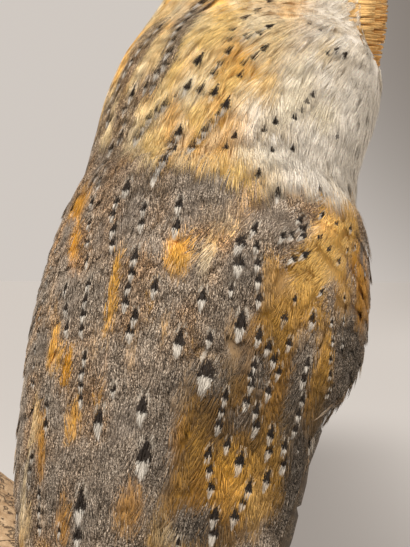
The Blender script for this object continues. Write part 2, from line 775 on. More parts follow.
HOOD_PATCHES = (
    (199, 31, 16, 22, 30, "honey", 0.9), (237, 53, 22, 15, 60, "amber", 0.85),
    (256, 75, 20, 12, 60, "amber", 0.9), (231, 86, 20, 12, 55, "honey", 0.9),
    (168, 75, 10, 26, 25, "honey", 0.8), (187, 91, 11, 9, 40, "ivory", 0.9),
    (196, 118, 18, 12, 55, "honey", 0.85), (152, 144, 12, 14, 40, "honey", 0.8),
    (212, 164, 12, 30, -65, "amber", 0.75), (240, 176, 9, 24, -65, "honey", 0.8),
    (262, 116, 30, 12, 60, "ivory", 0.7), (300, 24, 16, 24, 20, "ivory", 0.5),
    (262, 16, 14, 26, 55, "ivory", 0.6), (190, 14, 14, 16, 30, "ivory", 0.6),
    (296, 97, 8, 16, 30, "honey", 0.5), (222, 20, 12, 22, 40, "honey", 0.8),
    (180, 128, 14, 8, 55, "ivory", 0.5), (136, 165, 10, 16, 30, "ivory", 0.4),
    (176, 158, 14, 10, 60, "amber", 0.6), (330, 60, 8, 8, 0, "honey", 0.4),
    (352, 30, 8, 30, 10, "ivory", 0.5), (215, 100, 10, 10, 40, "amber", 0.7),
)
WHITE_PATCHES = (
    (322, 114, 13, 12, 0, "ivory", 0.9), (292, 102, 14, 24, 30, "ivory", 0.8),
    (325, 50, 10, 12, 0, "honey", 0.45), (268, 86, 16, 12, 60, "honey", 0.5),
    (300, 70, 16, 12, 60, "ivory", 0.5), (262, 158, 26, 9, 20, "ivory", 0.4),
)
HOOD_CREAM = (262, 166, 70, 22, -78)

# The same without a colour: grey over gold, silvery, dark, and light or, below 0, darker
GREY_PATCHES = (
    (190, 527, 20, 15, -20, 0.9), (240, 418, 12, 12, 0, 0.5), (294, 478, 9, 44, 10, 0.6),
    (268, 538, 10, 16, 0, 0.5), (214, 384, 12, 14, 0, 0.5), (262, 372, 10, 18, 0, 0.5),
)
SILVER_PATCHES = (
    (150, 455, 34, 50, 15, 1.0), (105, 500, 30, 40, 20, 0.9), (60, 450, 22, 50, 8, 0.6),
    (150, 372, 30, 40, 10, 0.8), (225, 312, 26, 40, 0, 0.8), (345, 340, 10, 60, 6, 0.9),
    (320, 440, 16, 40, 10, 0.8), (190, 205, 90, 16, 8, 0.6), (275, 225, 24, 26, 0, 0.7),
    (205, 530, 24, 20, 0, 0.8), (100, 300, 16, 60, 6, 0.6), (295, 400, 14, 40, 8, 0.6),
)
DARK_PATCHES = (
    (350, 362, 16, 60, 0, 1.0), (205, 535, 24, 22, 0, 0.8), (296, 490, 22, 80, 12, 1.0),
    (322, 425, 16, 50, 10, 1.0), (204, 400, 38, 34, 0, 0.7), (222, 420, 20, 28, 0, 0.9),
    (232, 392, 26, 22, 0, 0.6), (185, 460, 14, 40, 14, 0.5), (262, 440, 26, 60, 0, 0.55),
    (186, 500, 20, 50, 10, 0.55), (262, 536, 30, 20, 0, 0.55), (246, 345, 40, 50, 0, 0.35),
    (150, 190, 30, 13, 0, 0.6), (292, 395, 26, 50, 0, 0.4), (258, 335, 34, 66, 8, 0.6),
    (290, 420, 34, 80, 0, 0.6), (225, 455, 50, 66, 0, 0.15), (60, 500, 60, 76, 0, 0.35),
    (150, 505, 66, 70, 0, 0.5), (130, 420, 60, 60, 0, 0.2), (235, 300, 20, 40, 0, 0.3),
)
LIGHT_PATCHES = (
    (190, 228, 110, 22, 0, 0.6), (285, 220, 44, 14, 0, 0.8), (155, 250, 20, 26, 0, 0.2),
    (240, 240, 20, 20, 0, 0.3), (100, 400, 60, 70, 0, 0.15), (85, 450, 50, 30, 0, 0.15),
    (150, 355, 14, 20, 0, 0.25), (104, 20, 30, 60, 30, 0.1), (236, 398, 66, 52, 0, -0.38),
    (188, 462, 24, 46, 10, -0.32), (306, 448, 30, 60, 10, -0.36), (200, 528, 40, 20, 0, -0.36),
    (76, 255, 30, 26, 10, 0.2), (60, 300, 20, 40, 8, 0.2), (276, 352, 30, 24, 0, -0.15),
    (228, 520, 20, 20, 0, -0.15),
)

# Grain kept by the gold areas of the back, so that their marks have pale drops, and the rows
# between which it sets in
LEAST_GRAIN = 0.22
LEAST_GRAIN_ROWS = (300.0, 340.0)

# Grey bands on the gold hood: points of the band, half width and strength
HOOD_BANDS = (
    (((208, -10), (200, 5), (177, 30), (166, 62), (150, 90), (128, 100)), 6.0, 0.75),
    (((160, 20), (133, 62), (112, 100), (102, 130)), 5.0, 0.7),
    (((128, 100), (123, 135), (97, 178)), 9.0, 0.9),
    (((92, 120), (86, 160), (80, 200)), 11.0, 1.0),
    (((213, 97), (185, 90), (177, 99)), 4.0, 0.3),
    (((165, 106), (153, 116), (138, 138)), 6.0, 0.5),
    (((225, 108), (213, 124), (192, 148), (172, 170)), 4.5, 0.35),
    (((178, 135), (170, 148), (163, 166), (153, 183)), 6.0, 0.55),
    (((267, 30), (247, 39), (224, 58), (213, 76)), 3.0, 0.25),
    (((200, 178), (150, 190), (100, 195)), 9.0, 0.9),
    (((186, 172), (150, 168), (118, 150)), 9.0, 0.5),
)

# Rows of marked feather tips: points of the row, how many, and the marks' size
MARK_ROWS = (
    (((200, 5), (177, 30), (166, 62), (152, 86)), 9, 0.75),
    (((157, 30), (133, 62), (115, 95), (107, 122)), 9, 0.65),
    (((145, 88), (128, 100), (123, 135), (97, 178)), 8, 0.7), (((268, 3), (245, 15), (230, 30)), 4, 0.6),
    (((228, 41), (224, 58), (213, 76)), 4, 0.65), (((267, 30), (247, 39)), 3, 0.6),
    (((262, 52), (243, 64), (237, 77)), 4, 0.62), (((196, 65),), 1, 0.85),
    (((213, 97), (185, 90), (177, 99)), 4, 0.7), (((165, 106), (153, 116), (138, 138)), 5, 0.75),
    (((225, 108), (213, 124), (192, 148)), 6, 0.75),
    (((178, 135), (170, 148), (163, 166), (153, 183)), 6, 0.8), (((308, 25), (320, 30)), 2, 0.4),
    (((328, 57), (335, 57), (341, 60)), 3, 0.5), (((310, 98), (303, 108), (295, 121)), 4, 0.5),
    (((275, 125), (265, 134)), 2, 0.5), (((235, 140), (227, 147)), 2, 0.5),
    (((272, 153), (293, 152)), 2, 0.4), (((335, 140),), 1, 0.35), (((257, 178), (277, 199)), 2, 0.5),
    (((318, 192),), 1, 0.4), (((126, 193), (113, 210), (114, 247)), 5, 0.85),
    (((145, 211), (141, 226)), 2, 0.8), (((180, 208), (176, 232)), 2, 0.95),
    (((98, 188), (92, 215), (90, 248), (88, 262)), 5, 0.7),
    (((58, 252), (47, 290), (40, 338), (35, 385)), 9, 0.5), (((68, 292), (68, 330)), 3, 0.75),
    (((89, 288), (83, 332)), 4, 0.85), (((85, 360), (82, 402)), 4, 0.75),
    (((135, 260), (127, 305)), 4, 0.9), (((134, 320), (130, 335)), 2, 0.9), (((154, 290),), 1, 0.85),
    (((178, 346),), 1, 1.25), (((115, 393),), 1, 0.7), (((100, 426),), 1, 1.25), (((142, 412),), 1, 1.35),
    (((143, 462),), 1, 1.7), (((50, 408), (48, 428)), 2, 0.7), (((34, 460), (32, 486)), 3, 0.55),
    (((40, 497), (41, 528)), 3, 0.6), (((80, 512),), 1, 1.4), (((78, 541),), 1, 1.1),
    (((253, 232), (256, 262), (258, 302)), 5, 0.85), (((238, 246), (239, 268)), 2, 1.15),
    (((230, 292),), 1, 0.7), (((202, 303),), 1, 0.9), (((239, 328),), 1, 1.35), (((205, 378),), 1, 1.55),
    (((210, 342),), 1, 0.75), (((257, 340), (267, 352), (276, 375)), 4, 0.8),
    (((253, 368), (249, 386)), 3, 0.75), (((288, 345),), 1, 0.75), (((305, 368), (301, 382)), 2, 0.8),
    (((266, 396), (245, 405)), 2, 0.85), (((255, 414), (254, 428)), 2, 0.9),
    (((223, 400), (221, 412)), 2, 0.75), (((300, 402), (293, 432)), 3, 0.75),
    (((217, 428), (227, 447)), 2, 0.8), (((208, 458), (209, 490)), 3, 0.85), (((237, 466),), 1, 1.05),
    (((268, 438), (266, 452)), 2, 0.8), (((283, 450), (281, 466)), 2, 0.85), (((265, 482),), 1, 0.9),
    (((247, 492), (234, 518)), 3, 0.85), (((212, 520), (212, 536)), 2, 0.95),
    (((298, 222), (299, 238)), 3, 0.85), (((280, 240), (290, 238)), 2, 0.8),
    (((291, 260), (302, 257)), 2, 0.85), (((318, 218), (334, 227), (349, 231)), 3, 0.6),
    (((315, 240), (324, 248), (335, 264)), 3, 0.65), (((317, 294), (293, 302)), 2, 0.6),
    (((310, 322), (282, 322)), 2, 0.85), (((345, 252), (352, 248)), 2, 0.45),
    (((330, 325), (327, 395)), 5, 0.5), (((343, 300), (340, 345)), 3, 0.45),
)


def along(table, value):
    """A border's row or column at a column or row."""
    xs = [row[0] for row in table]
    ys = [row[1] for row in table]
    return np.interp(value, xs, ys)


def ellipse_weight(px, py, patch, softness):
    """1 inside an ellipse in the photograph, falling to 0 over its soft edge."""
    x, y, across, tall, lean = patch[:5]
    a = math.radians(lean)
    dx = px - x
    dy = py - y
    u = (dx * math.cos(a) + dy * math.sin(a)) / across
    v = (-dx * math.sin(a) + dy * math.cos(a)) / tall
    return 1.0 - ramp(1.0 - softness, 1.0 + softness, np.hypot(u, v))


def band_weight(px, py, corners, half):
    """1 on a line of points in the photograph, falling to 0 past its half width."""
    best = np.full(len(px), 1e9)
    for (ax, ay), (bx, by) in zip(corners, corners[1:]):
        length = (bx - ax) ** 2 + (by - ay) ** 2
        t = np.clip(((px - ax) * (bx - ax) + (py - ay) * (by - ay)) / length, 0.0, 1.0)
        best = np.minimum(best, np.hypot(px - ax - t * (bx - ax), py - ay - t * (by - ay)))
    return 1.0 - ramp(0.5 * half, 1.7 * half, best)


def wander(points, size, seed):
    """Smooth noise about 0, one value a point, of features about size millimetres."""
    out = np.empty(len(points))
    shift = Vector((seed * 17.3, seed * 5.1, seed * 9.7))
    for i, p in enumerate(points.tolist()):
        out[i] = noise.noise(Vector(p) / size + shift)
    return out


def mixed(base, color, weight):
    """Rows of colours mixed with one colour, each by its own weight."""
    w = weight[:, None]
    return base * (1.0 - w) + np.array(color)[None, :] * w


def filled(count, color):
    """One colour in as many rows."""
    return np.tile(np.array(color), (count, 1))


def with_patches(tint, px, py, patches):
    """The tint with the colour of each patch mixed in."""
    for patch in patches:
        tint = mixed(tint, PATCH_COLORS[patch[5]], patch[6] * ellipse_weight(px, py, patch, COLOR_SOFTNESS))
    return tint


def hood_colors(points, px, py, ragged, warmth, white):
    """Tint of the gold hood and of its white side."""
    tint = mixed(filled(len(points), BUFF_HOOD), GOLD_HOOD, ramp(-0.25, 0.25, warmth))
    tint = mixed(tint, CREAM, 0.5 * ellipse_weight(px, py, HOOD_CREAM, GREY_SOFTNESS))
    tint = with_patches(tint, px, py, HOOD_PATCHES)
    tint = mixed(tint, PATCH_COLORS["ivory"], 0.4 * ramp(0.0, 0.2, ragged))
    wisps = ramp(0.02, 0.3, wander(points * np.array((1.0, 1.0, 0.6)), 9.0, 6.0))
    tint = mixed(tint, WHITE, white)
    by_border = 1.0 - ramp(20.0, 90.0, px - along(WHITE_BORDER, py))
    tint = mixed(tint, CREAM, 0.45 * wisps * white * by_border)
    return with_patches(tint, px, py, WHITE_PATCHES)


def photo_colors(points, ragged):
    """Tint, grain and shade of the side that the photograph shows."""
    px, py = to_photo(points)
    px = px + EDGE_RAGGED * ragged
    py = py + EDGE_RAGGED * np.roll(ragged, 1)
    count = len(points)
    warmth = wander(points * np.array((1.0, 0.8, 0.5)), 11.0, 4.0)
    tint = mixed(filled(count, SILVER), GOLD, ramp(-0.28, 0.28, warmth))
    for patch in SILVER_PATCHES:
        tint = mixed(tint, SILVER, patch[5] * ellipse_weight(px, py, patch, GREY_SOFTNESS))
    grain = 0.99 - 0.22 * ramp(0.1, 0.4, warmth)
    hood = 1.0 - ramp(-8.0, 8.0, py - along(HOOD_BORDER, px))
    white = ramp(-24.0, 20.0, px - along(WHITE_BORDER, py))
    hood_tint = hood_colors(points, px, py, ragged, warmth, white)
    tint = mixed(tint, (0, 0, 0), hood) + hood_tint * hood[:, None]
    bands = np.zeros(count)
    for corners, half, strength in HOOD_BANDS:
        bands = np.maximum(bands, strength * band_weight(px, py, corners, half))
    grain = grain * (1.0 - hood) + hood * bands * (1.0 - white)
    for patch in GOLD_PATCHES:
        weight = patch[6] * ellipse_weight(px, py, patch, COLOR_SOFTNESS) * (1.0 - hood)
        tint = mixed(tint, PATCH_COLORS[patch[5]], weight)
        grain = grain * (1.0 - weight)
    for patch in GREY_PATCHES:
        weight = patch[5] * ellipse_weight(px, py, patch, GREY_SOFTNESS) * (1.0 - hood)
        tint = mixed(tint, SILVER, weight)
        grain = grain * (1.0 - weight) + weight
    grain = np.maximum(grain, LEAST_GRAIN * ramp(*LEAST_GRAIN_ROWS, py) * (1.0 - hood))
    shade = np.zeros(count)
    for patch in DARK_PATCHES:
        shade = np.maximum(shade, patch[5] * ellipse_weight(px, py, patch, SHADE_SOFTNESS) * (1.0 - hood))
    light = np.ones(count)
    for patch in LIGHT_PATCHES:
        light += patch[5] * ellipse_weight(px, py, patch, SHADE_SOFTNESS)
    return tint * light[:, None], grain, shade


def disc_share(points):
    """1 on the facial disc, 0 away from it."""
    d = points - np.array(HEAD_MIDDLE)
    wide = np.hypot(d @ np.array(HEAD_ACROSS), d[:, 2])
    ahead = ramp(FACE_PLANE - 10.0, FACE_PLANE - 4.0, d @ np.array(HEAD_FORWARD))
    return ahead * (1.0 - ramp(40.0, 46.0, wide))


def head_colors(points, ragged, above, tint, grain):
    """Tint and grain with nape, crown, disc and the rusty corners of the eyes laid over."""
    d = points - np.array(HEAD_MIDDLE)
    forward = d @ np.array(HEAD_FORWARD)
    crown = above * ramp(0.0, 26.0, d[:, 2]) * (1.0 - ramp(-10.0, 12.0, forward))
    nape = above * (1.0 - crown)
    side = ramp(-20.0, 30.0, -points[:, 0] * 0.6 - points[:, 1] - 40.0)
    nape_tint = mixed(filled(len(points), NAPE_GOLD), WHITE, side)
    tint = tint * (1.0 - nape[:, None]) + nape_tint * nape[:, None]
    grain = grain * (1.0 - nape) + nape * 0.75 * ramp(0.0, 0.25, ragged) * (1.0 - side)
    tint = mixed(tint, CROWN_GOLD, crown)
    grain = grain * (1.0 - crown) + crown * 0.8 * ramp(-0.15, 0.2, ragged)
    disc = disc_share(points)
    tint = mixed(tint, WHITE, disc)
    grain = grain * (1.0 - disc)
    across = np.abs(d @ np.array(HEAD_ACROSS))
    away = np.hypot((across - 8.0) / 4.5, (d[:, 2] - EYE_UP + 6.0) / 7.0)
    corner = 1.0 - ramp(0.4, 1.5, away - 0.25 * ragged)
    return mixed(tint, RUST, 0.85 * corner * disc), grain


def body_colors(points, ragged):
    """Tint and grain from the species: gold and grey above, white below."""
    places = np.array([to_body(p) for p in points.tolist()])
    front = np.array([smooth_value(WING_FRONT, height) for height in places[:, 1].tolist()])
    edge = np.array(HOOD_EDGE_NORMAL) / np.linalg.norm(HOOD_EDGE_NORMAL)
    over_edge = (points - np.array((0, HOOD_EDGE_MIDDLE, AXIS_UP + HOOD_EDGE))) @ edge
    above = ramp(-3.0, 3.0, over_edge)
    back = 1.0 - ramp(-7.0, 9.0, np.abs(places[:, 0]) - front + 14.0 * ragged)
    tint = mixed(filled(len(points), GOLD), DEEP_GOLD, 0.6 * ramp(-0.2, 0.3, np.roll(ragged, 3)))
    grain = 1.0 - ramp(0.05, 0.3, ragged)
    under = (1.0 - back) * (1.0 - above)
    tint = mixed(tint, WHITE, under)
    return head_colors(points, ragged, above, tint, grain * (1.0 - under))


def coat_colors(points, normals):
    """Tint with grain as fourth column, the same for skin and coat."""
    ragged = wander(points * np.array((1.0, 0.75, 0.4)), 7.0, 1.0)
    tint, grain = body_colors(points, ragged)
    seen_tint, seen_grain, shade = photo_colors(points, 0.6 * ragged)
    facing = -(normals @ np.array(VIEW))
    py = to_photo(points)[1]
    seen = ramp(-0.3, -0.05, facing) * ramp(-60.0, -10.0, py) * (1.0 - ramp(560.0, 640.0, py))
    seen = seen * (1.0 - disc_share(points))
    seen = seen * ramp(1.0, 30.0, points[:, 2] - PERCH_TOP)
    tint = tint * (1.0 - seen[:, None]) + seen_tint * seen[:, None]
    grain = grain * (1.0 - seen) + seen_grain * seen
    tint = mixed(tint, DUSK, 0.75 * shade * seen)
    return np.column_stack((tint, grain))


# The lie of the coat and its zones

TAILWARD = Vector((0.0, math.sin(LEAN), -math.cos(LEAN)))

# Places where the coat is swept aside: ellipse in the photograph, then the sweep to its right and
# its share downward
SWEEPS = (
    (318, 256, 38, 52, 10, -0.85, 0.6),
    (226, 222, 30, 26, 0, -0.65, 0.8),
    (285, 320, 26, 40, 0, -0.4, 0.9),
)


def swept(p, n, lie):
    """The lie turned where the coat is swept aside on the side that the photograph shows."""
    if n.dot(VIEW) > 0.1:
        return lie
    px, py = to_photo(np.array([p]))
    for sweep in SWEEPS:
        weight = float(ellipse_weight(px, py, sweep, SWEEP_SOFTNESS)[0])
        if weight > 0.0:
            lie = lie * (1.0 - weight) + (RIGHT * sweep[5] - Vector((0, 0, sweep[6]))) * weight
    return lie


def is_swept(root):
    if root.n.dot(VIEW) >= 0.1:
        return False
    px, py = to_photo(np.array([root.p]))
    return any(ellipse_weight(px, py, sweep, SWEEP_SOFTNESS)[0] > 0.05 for sweep in SWEEPS)


def flow(p, n, zone):
    """Unit direction in which feathers lie at a point."""
    p = Vector(p)
    n = Vector(n)
    if zone == "disc":
        side, _, up = in_head(p)
        eye = EYE_SIDE if side > 0 else -EYE_SIDE
        out = Vector((side - eye, up - EYE_UP))
        if abs(side) < EYE_SIDE:
            out.x *= 0.35
        lie = HEAD_ACROSS * out.x + Vector((0, 0, 1)) * out.y
    elif zone == "leg":
        lie = Vector((0.0, 0.1, -1.0))
    else:
        away = (p - HEAD_MIDDLE).length
        near = float(1.0 - ramp(55.0, 125.0, away))
        lie = TAILWARD * (1.0 - 0.45 * near) - HEAD_FORWARD * near
        if zone in VANED:
            s, height, _ = to_body(p)
            lie.x -= 0.16 * s / 100.0 * (1.0 if height < 60 else 0.4)
        if zone == "throat":
            lie += Vector((-0.25, 0.0, -0.35))
        lie = swept(p, n, lie)
    lie = lie - n * lie.dot(n)
    if lie.length < 1e-4:
        lie = n.orthogonal()
    return lie.normalized()


def zone_of(p, n):
    """The style of coat at a point, or none under the ruff."""
    side, forward, up = in_head(p)
    angle = math.atan2(side, up)
    if forward > FACE_PLANE - 2.0 and math.hypot(side, up) < disc_radius(angle, -1.0):
        return "disc"
    if forward > RUFF_ROOT + 5.0 and math.hypot(side, up) < disc_radius(angle, 0.5):
        return "none"
    for leg_side in (1, -1):
        if abs(p[0] - leg_side * LEG_SIDE) < LEG_RADIUS and p[2] < PERCH_TOP + 50.0 and abs(p[1]) < 22.0:
            return "leg"
    normal = Vector(HOOD_EDGE_NORMAL).normalized()
    over = (Vector(p) - Vector((0, HOOD_EDGE_MIDDLE, AXIS_UP + HOOD_EDGE))).dot(normal)
    hidden = max(0.0, Vector(n).dot(VIEW))
    if over > -2.0 + 26.0 * hidden * noise.noise(Vector(p) / 13.0):
        away = (Vector(p) - HEAD_MIDDLE).length
        if away < CROWN_REACH and up > CROWN_LOW:
            return "head"
        px, py = to_photo(np.array([p]))
        if px[0] > along(WHITE_BORDER, py[0]) - 8.0:
            return "throat"
        return "hood"
    s, height, lift = to_body(p)
    front = smooth_value(WING_FRONT, height)
    if abs(s) < front + 4.0 and lift > -0.6 * smooth_value(WING_THICKNESS, height):
        if height < LOW_HEIGHT:
            return "low"
        if abs(s) > front * LESSER_FROM and height > LESSER_HEIGHT:
            return "lesser"
        return "back"
    return "belly"


def sample_surface(count):
    """Random points with normals, evenly over the form."""
    a, b, c = (guide.points[guide.triangles[:, k]] for k in range(3))
    normals = np.cross(b - a, c - a)
    areas = np.linalg.norm(normals, axis=1)
    picks = rng.choice(len(areas), size=count, p=areas / areas.sum())
    u = rng.random(count)
    v = rng.random(count)
    flip = u + v > 1.0
    u[flip] = 1.0 - u[flip]
    v[flip] = 1.0 - v[flip]
    points = a[picks] + (b[picks] - a[picks]) * u[:, None] + (c[picks] - a[picks]) * v[:, None]
    return points, normals[picks] / areas[picks][:, None]


class Root:
    """One feather's root: place, lie, style and mark."""

    def __init__(self, p, n, zone, mark=0.0):
        _, length, width, _, lift = STYLES[zone]
        self.p = Vector(p)
        self.n = Vector(n)
        self.zone = zone
        self.lie = flow(p, n, zone)
        self.length = length * random.uniform(0.9, 1.1)
        self.width = width * random.uniform(0.92, 1.08)
        self.lift = lift * random.uniform(0.75, 1.25)
        self.mark = mark
        side, forward, up = in_head(p)
        rim = disc_radius(math.atan2(side, up)) - math.hypot(side, up)
        self.spread = 0.15 if forward > RUFF_ROOT - 6.0 and -9.0 < rim < 0.0 else 1.0
        if zone == "disc":
            self.length = min(self.length, max(2.6, rim + 1.5))
        if zone == "low":
            self.length *= random.uniform(0.85, 1.15)


def along_row(corners, count):
    """Evenly spaced places on the line through a row's corners."""
    lengths = [0.0]
    for a, b in zip(corners, corners[1:]):
        lengths.append(lengths[-1] + math.dist(a, b))
    for i in range(count):
        reach = lengths[-1] * (i / (count - 1) if count > 1 else 0.0)
        yield [np.interp(reach, lengths, [c[k] for c in corners]) for k in (0, 1)]


def marked_root(px, py, size):
    """A feather whose marked tip lies behind a pixel, or None."""
    hit, normal = on_photo(px, py)
    if hit is None:
        return None
    zone = zone_of(hit, normal)
    if zone in ("none", "disc"):
        return None
    scale = MARK_SCALE_VANED if zone in VANED else MARK_SCALE
    root = Root(hit, normal, zone, scale * size * random.uniform(0.9, 1.1))
    back = root.length - MARK_FROM_TIP * root.mark
    root.p, root.n = guide.nearest(root.p - root.lie * back)
    root.tip = Vector(hit)
    root.lie = root.tip - root.p
    root.lie = (root.lie - root.n * root.lie.dot(root.n)).normalized()
    root.lift += 0.2
    return root


def marked_roots():
    """Feathers whose marked tips show at the places of MARK_ROWS."""
    made = []
    for corners, count, size in MARK_ROWS:
        for px, py in along_row(corners, count):
            px += random.uniform(-MARK_WOBBLE, MARK_WOBBLE)
            py += random.uniform(-MARK_WOBBLE, MARK_WOBBLE)
            made.append(marked_root(px, py, size))
    return [root for root in made if root is not None]


def is_bare(p, zone):
    """True on the rims of the eyes and where the bill stands."""
    if zone != "disc":
        return False
    side, _, up = in_head(p)
    by_eye = math.hypot(abs(side) - EYE_SIDE, up - EYE_UP) < EYE_RADIUS + 1.6
    by_bill = abs(side) < BILL_RADIUS + 0.6 and -26.0 < up < BILL_UP + 3.5
    return by_eye or by_bill


def other_mark(p, n, zone):
    """A mark for a feather that the photograph doesn't show."""
    row = to_photo(np.array([p]))[1][0]
    seen = -Vector(n).dot(VIEW) > 0.05 and -12.0 < row < 560.0
    if seen or zone in ("leg", "disc", "none"):
        return 0.0
    if zone in VANED:
        return random.uniform(0.6, 1.0) if random.random() < 0.55 else 0.0
    if zone in ("belly", "throat"):
        return random.uniform(0.6, 0.85) if random.random() < 0.12 else 0.0
    return random.uniform(0.5, 0.7) if random.random() < 0.16 else 0.0


def cell_of(p):
    """The cell of the search grid that holds a point."""
    return int(p[0] // GRID_CELL), int(p[1] // GRID_CELL), int(p[2] // GRID_CELL)


def neighbours(grid, p):
    """What the grid holds in a point's cell and in those round it."""
    x, y, z = cell_of(p)
    for i, j, k in itertools.product((-1, 0, 1), repeat=3):
        yield from grid.get((x + i, y + j, z + k), ())


def has_room(grid, p, zone):
    here = Vector(p)
    spacing = STYLES[zone][0]
    return not any((other.p - here).length < min(spacing, STYLES[other.zone][0])
                   for other in neighbours(grid, p))


def hides_mark(tip_grid, end):
    return any((tip - end).length < MARK_ROOM + MARK_ROOM_BY_SIZE * size
               for tip, size in neighbours(tip_grid, end))


def place_roots():
    """Marked feathers first, then others wherever there is room."""
    accepted = marked_roots()
    grid = {}
    tip_grid = {}
    for root in accepted:
        grid.setdefault(cell_of(root.p), []).append(root)
        tip_grid.setdefault(cell_of(root.tip), []).append((root.tip, root.mark))
    points, normals = sample_surface(SURFACE_SAMPLES)
    for p, n in zip(points.tolist(), normals.tolist()):
        zone = zone_of(p, n)
        if zone == "none" or is_bare(p, zone) or not has_room(grid, p, zone):
            continue
        root = Root(p, n, zone, other_mark(p, n, zone))
        if hides_mark(tip_grid, root.p + root.lie * root.length * 0.9):
            continue
        accepted.append(root)
        grid.setdefault(cell_of(root.p), []).append(root)
    return accepted


# Unwrap of the body's own form: turn round the axis by height, the head apart

HEAD_REACH = 62.0
UNWRAP_WIDE = 0.98


def is_head(points):
    return np.linalg.norm(points - np.array(HEAD_MIDDLE), axis=1) < HEAD_REACH


def unwrap(p, head=None):
    """Places on the unwrap of points on the form; head tells which ones use the head's part."""
    head = is_head(p) if head is None else head
    ahead = p[:, 1] - AXIS_BACK
    above = p[:, 2] - AXIS_UP
    height = above * math.cos(LEAN) - ahead * math.sin(LEAN)
    depth = above * math.sin(LEAN) + ahead * math.cos(LEAN)
    turn = np.arctan2(p[:, 0], depth) / (2 * math.pi) + 0.5
    rise = np.clip((height + 140.0) / 400.0, 0.0, 1.0)
    d = p - np.array(HEAD_MIDDLE)
    side = d @ np.array(HEAD_ACROSS)
    forward = d @ np.array(HEAD_FORWARD)
    head_turn = np.arctan2(side, -forward) / (2 * math.pi) + 0.5
    head_rise = np.arctan2(d[:, 2], np.hypot(side, forward)) / math.pi + 0.5
    u = 0.01 + UNWRAP_WIDE * np.where(head, head_turn, turn)
    v = np.where(head, 0.66 + 0.32 * head_rise, 0.01 + 0.60 * rise)
    return np.column_stack((u, v))


def feather_piece(name, parts, slot, *nodes):
    """One piece made of the arrays of many feathers."""
    points, tints, spots, patches = (np.concatenate([part[k] for part in parts]) for k in (0, 2, 3, 4))
    faces = []
    count = 0
    for part in parts:
        faces.append(part[1] + count)
        count += len(part[0])
    faces = np.concatenate(faces).astype(np.int32)
    mesh = bpy.data.meshes.new(name)
    mesh.vertices.add(count)
    mesh.vertices.foreach_set("co", (points * MM).astype(np.float32).ravel())
    mesh.loops.add(len(faces) * 3)
    mesh.loops.foreach_set("vertex_index", faces.ravel())
    mesh.polygons.add(len(faces))
    mesh.polygons.foreach_set("loop_start", np.arange(0, len(faces) * 3, 3, dtype=np.int32))
    mesh.update(calc_edges=True)
    mesh.shade_smooth()
    add_colors(mesh, "tint", tints)
    add_spots(mesh, spots)
    add_unwrap(mesh, patches[faces.ravel()])
    return dress(linked(name, mesh), body_look, slot, *nodes)


def ring_faces(stations, sides):
    """Triangles of a closed strip of rings that ends in one point."""
    faces = []
    for i in range(stations - 1):
        for j in range(sides):
            k = (j + 1) % sides
            a = i * sides
            b = a + sides
            if i < stations - 2:
                faces.append((a + j, b + k, a + k))
                faces.append((a + j, b + j, b + k))
            else:
                faces.append((a + j, b, a + k))
    faces.append((0, 1, 2))
    return np.array(faces)


def mark_tree(roots):
    """Search tree of the marks, with their middles, axes and sizes."""
    marked = [r for r in roots if r.mark > 0.0]
    tree = KDTree(len(marked))
    middles = np.empty((len(marked), 3))
    for i, root in enumerate(marked):
        middles[i] = guide.nearest(root.p + root.lie * (root.length - MARK_FROM_TIP * root.mark))[0]
        tree.insert(middles[i], i)
    tree.balance()
    lies = np.array([r.lie for r in marked])
    sides = np.array([r.n.cross(r.lie) for r in marked])
    return tree, middles, lies, sides, np.array([r.mark for r in marked])


STATIONS = np.linspace(0.0, 1.0, STRAND_STATIONS)
STRAND_FACES = ring_faces(STRAND_STATIONS, 3)
STRAND_POINTS = 3 * (STRAND_STATIONS - 1) + 1


def strand_rows(root):
    """One root's strands: root, across, start, reach, sides, curl, lift at the end and tone."""
    across = root.n.cross(root.lie)
    count = STYLES[root.zone][3]
    vaned = root.zone in VANED
    rows = []
    for i in range(count):
        share = (i + random.random()) / count * 2.0 - 1.0
        start = root.length * random.uniform(0.0, 0.45) * root.spread
        reach = root.length * random.uniform(0.75, 1.05)
        if vaned:
            start = root.length * random.uniform(0.28, 0.86)
            limit = root.length * random.uniform(1.0, 1.08) - 0.26 * root.width * share * share
            reach = min(start + random.uniform(3.5, 7.0), limit)
        side_start = share * root.width * (0.36 if vaned else 0.22)
        side_end = share * root.width * (0.47 if vaned else 0.5)
        curl = random.uniform(-0.6, 0.6)
        lift_end = root.lift * random.uniform(0.6, 1.5) + (0.4 if vaned else 0.0)
        lift_end += 0.35 if root.mark > 0.0 else 0.0
        tone = random.uniform(0.72, 1.2) if vaned else random.uniform(0.88, 1.1)
        rows.append((root, across, start, reach, side_start, side_end, curl, lift_end, tone))
    return rows


def strands(roots):
    """Tufts of thin tapering strands that fan from each root along the lie."""
    marks = mark_tree(roots)
    rows = [row for root in roots for row in strand_rows(root)]
    return [strand_batch(rows[begin:begin + STRANDS_A_PIECE], marks)
            for begin in range(0, len(rows), STRANDS_A_PIECE)]


def repeated(faces, count, points_each):
    """The faces of one feather repeated for many that lie one after another."""
    return (faces[None, :, :] + (np.arange(count) * points_each)[:, None, None]).reshape(-1, 3)


def tuft_patches(p, across, down):
    """Places on the unwrap: a tuft's own square at its root's place."""
    local = np.stack((np.clip(across, -0.5, 0.5), np.clip(down, -0.5, 0.5)), axis=-1)
    return (unwrap(p)[:, None, :] + local * PATCH).reshape(-1, 2)


def mark_spots(spots, points, middles, marks):
    """Put the strands that lie near a mark into that mark's own axes."""
    tree, places, lies, sides, sizes = marks
    for i, middle in enumerate(middles.tolist()):
        _, index, distance = tree.find(middle)
        if distance <= MARK_REACH * sizes[index]:
            away = points[i] - places[index]
            spots[i, :, 0] = away @ sides[index]
            spots[i, :, 1] = away @ lies[index]
            spots[i, :, 2] = sizes[index]


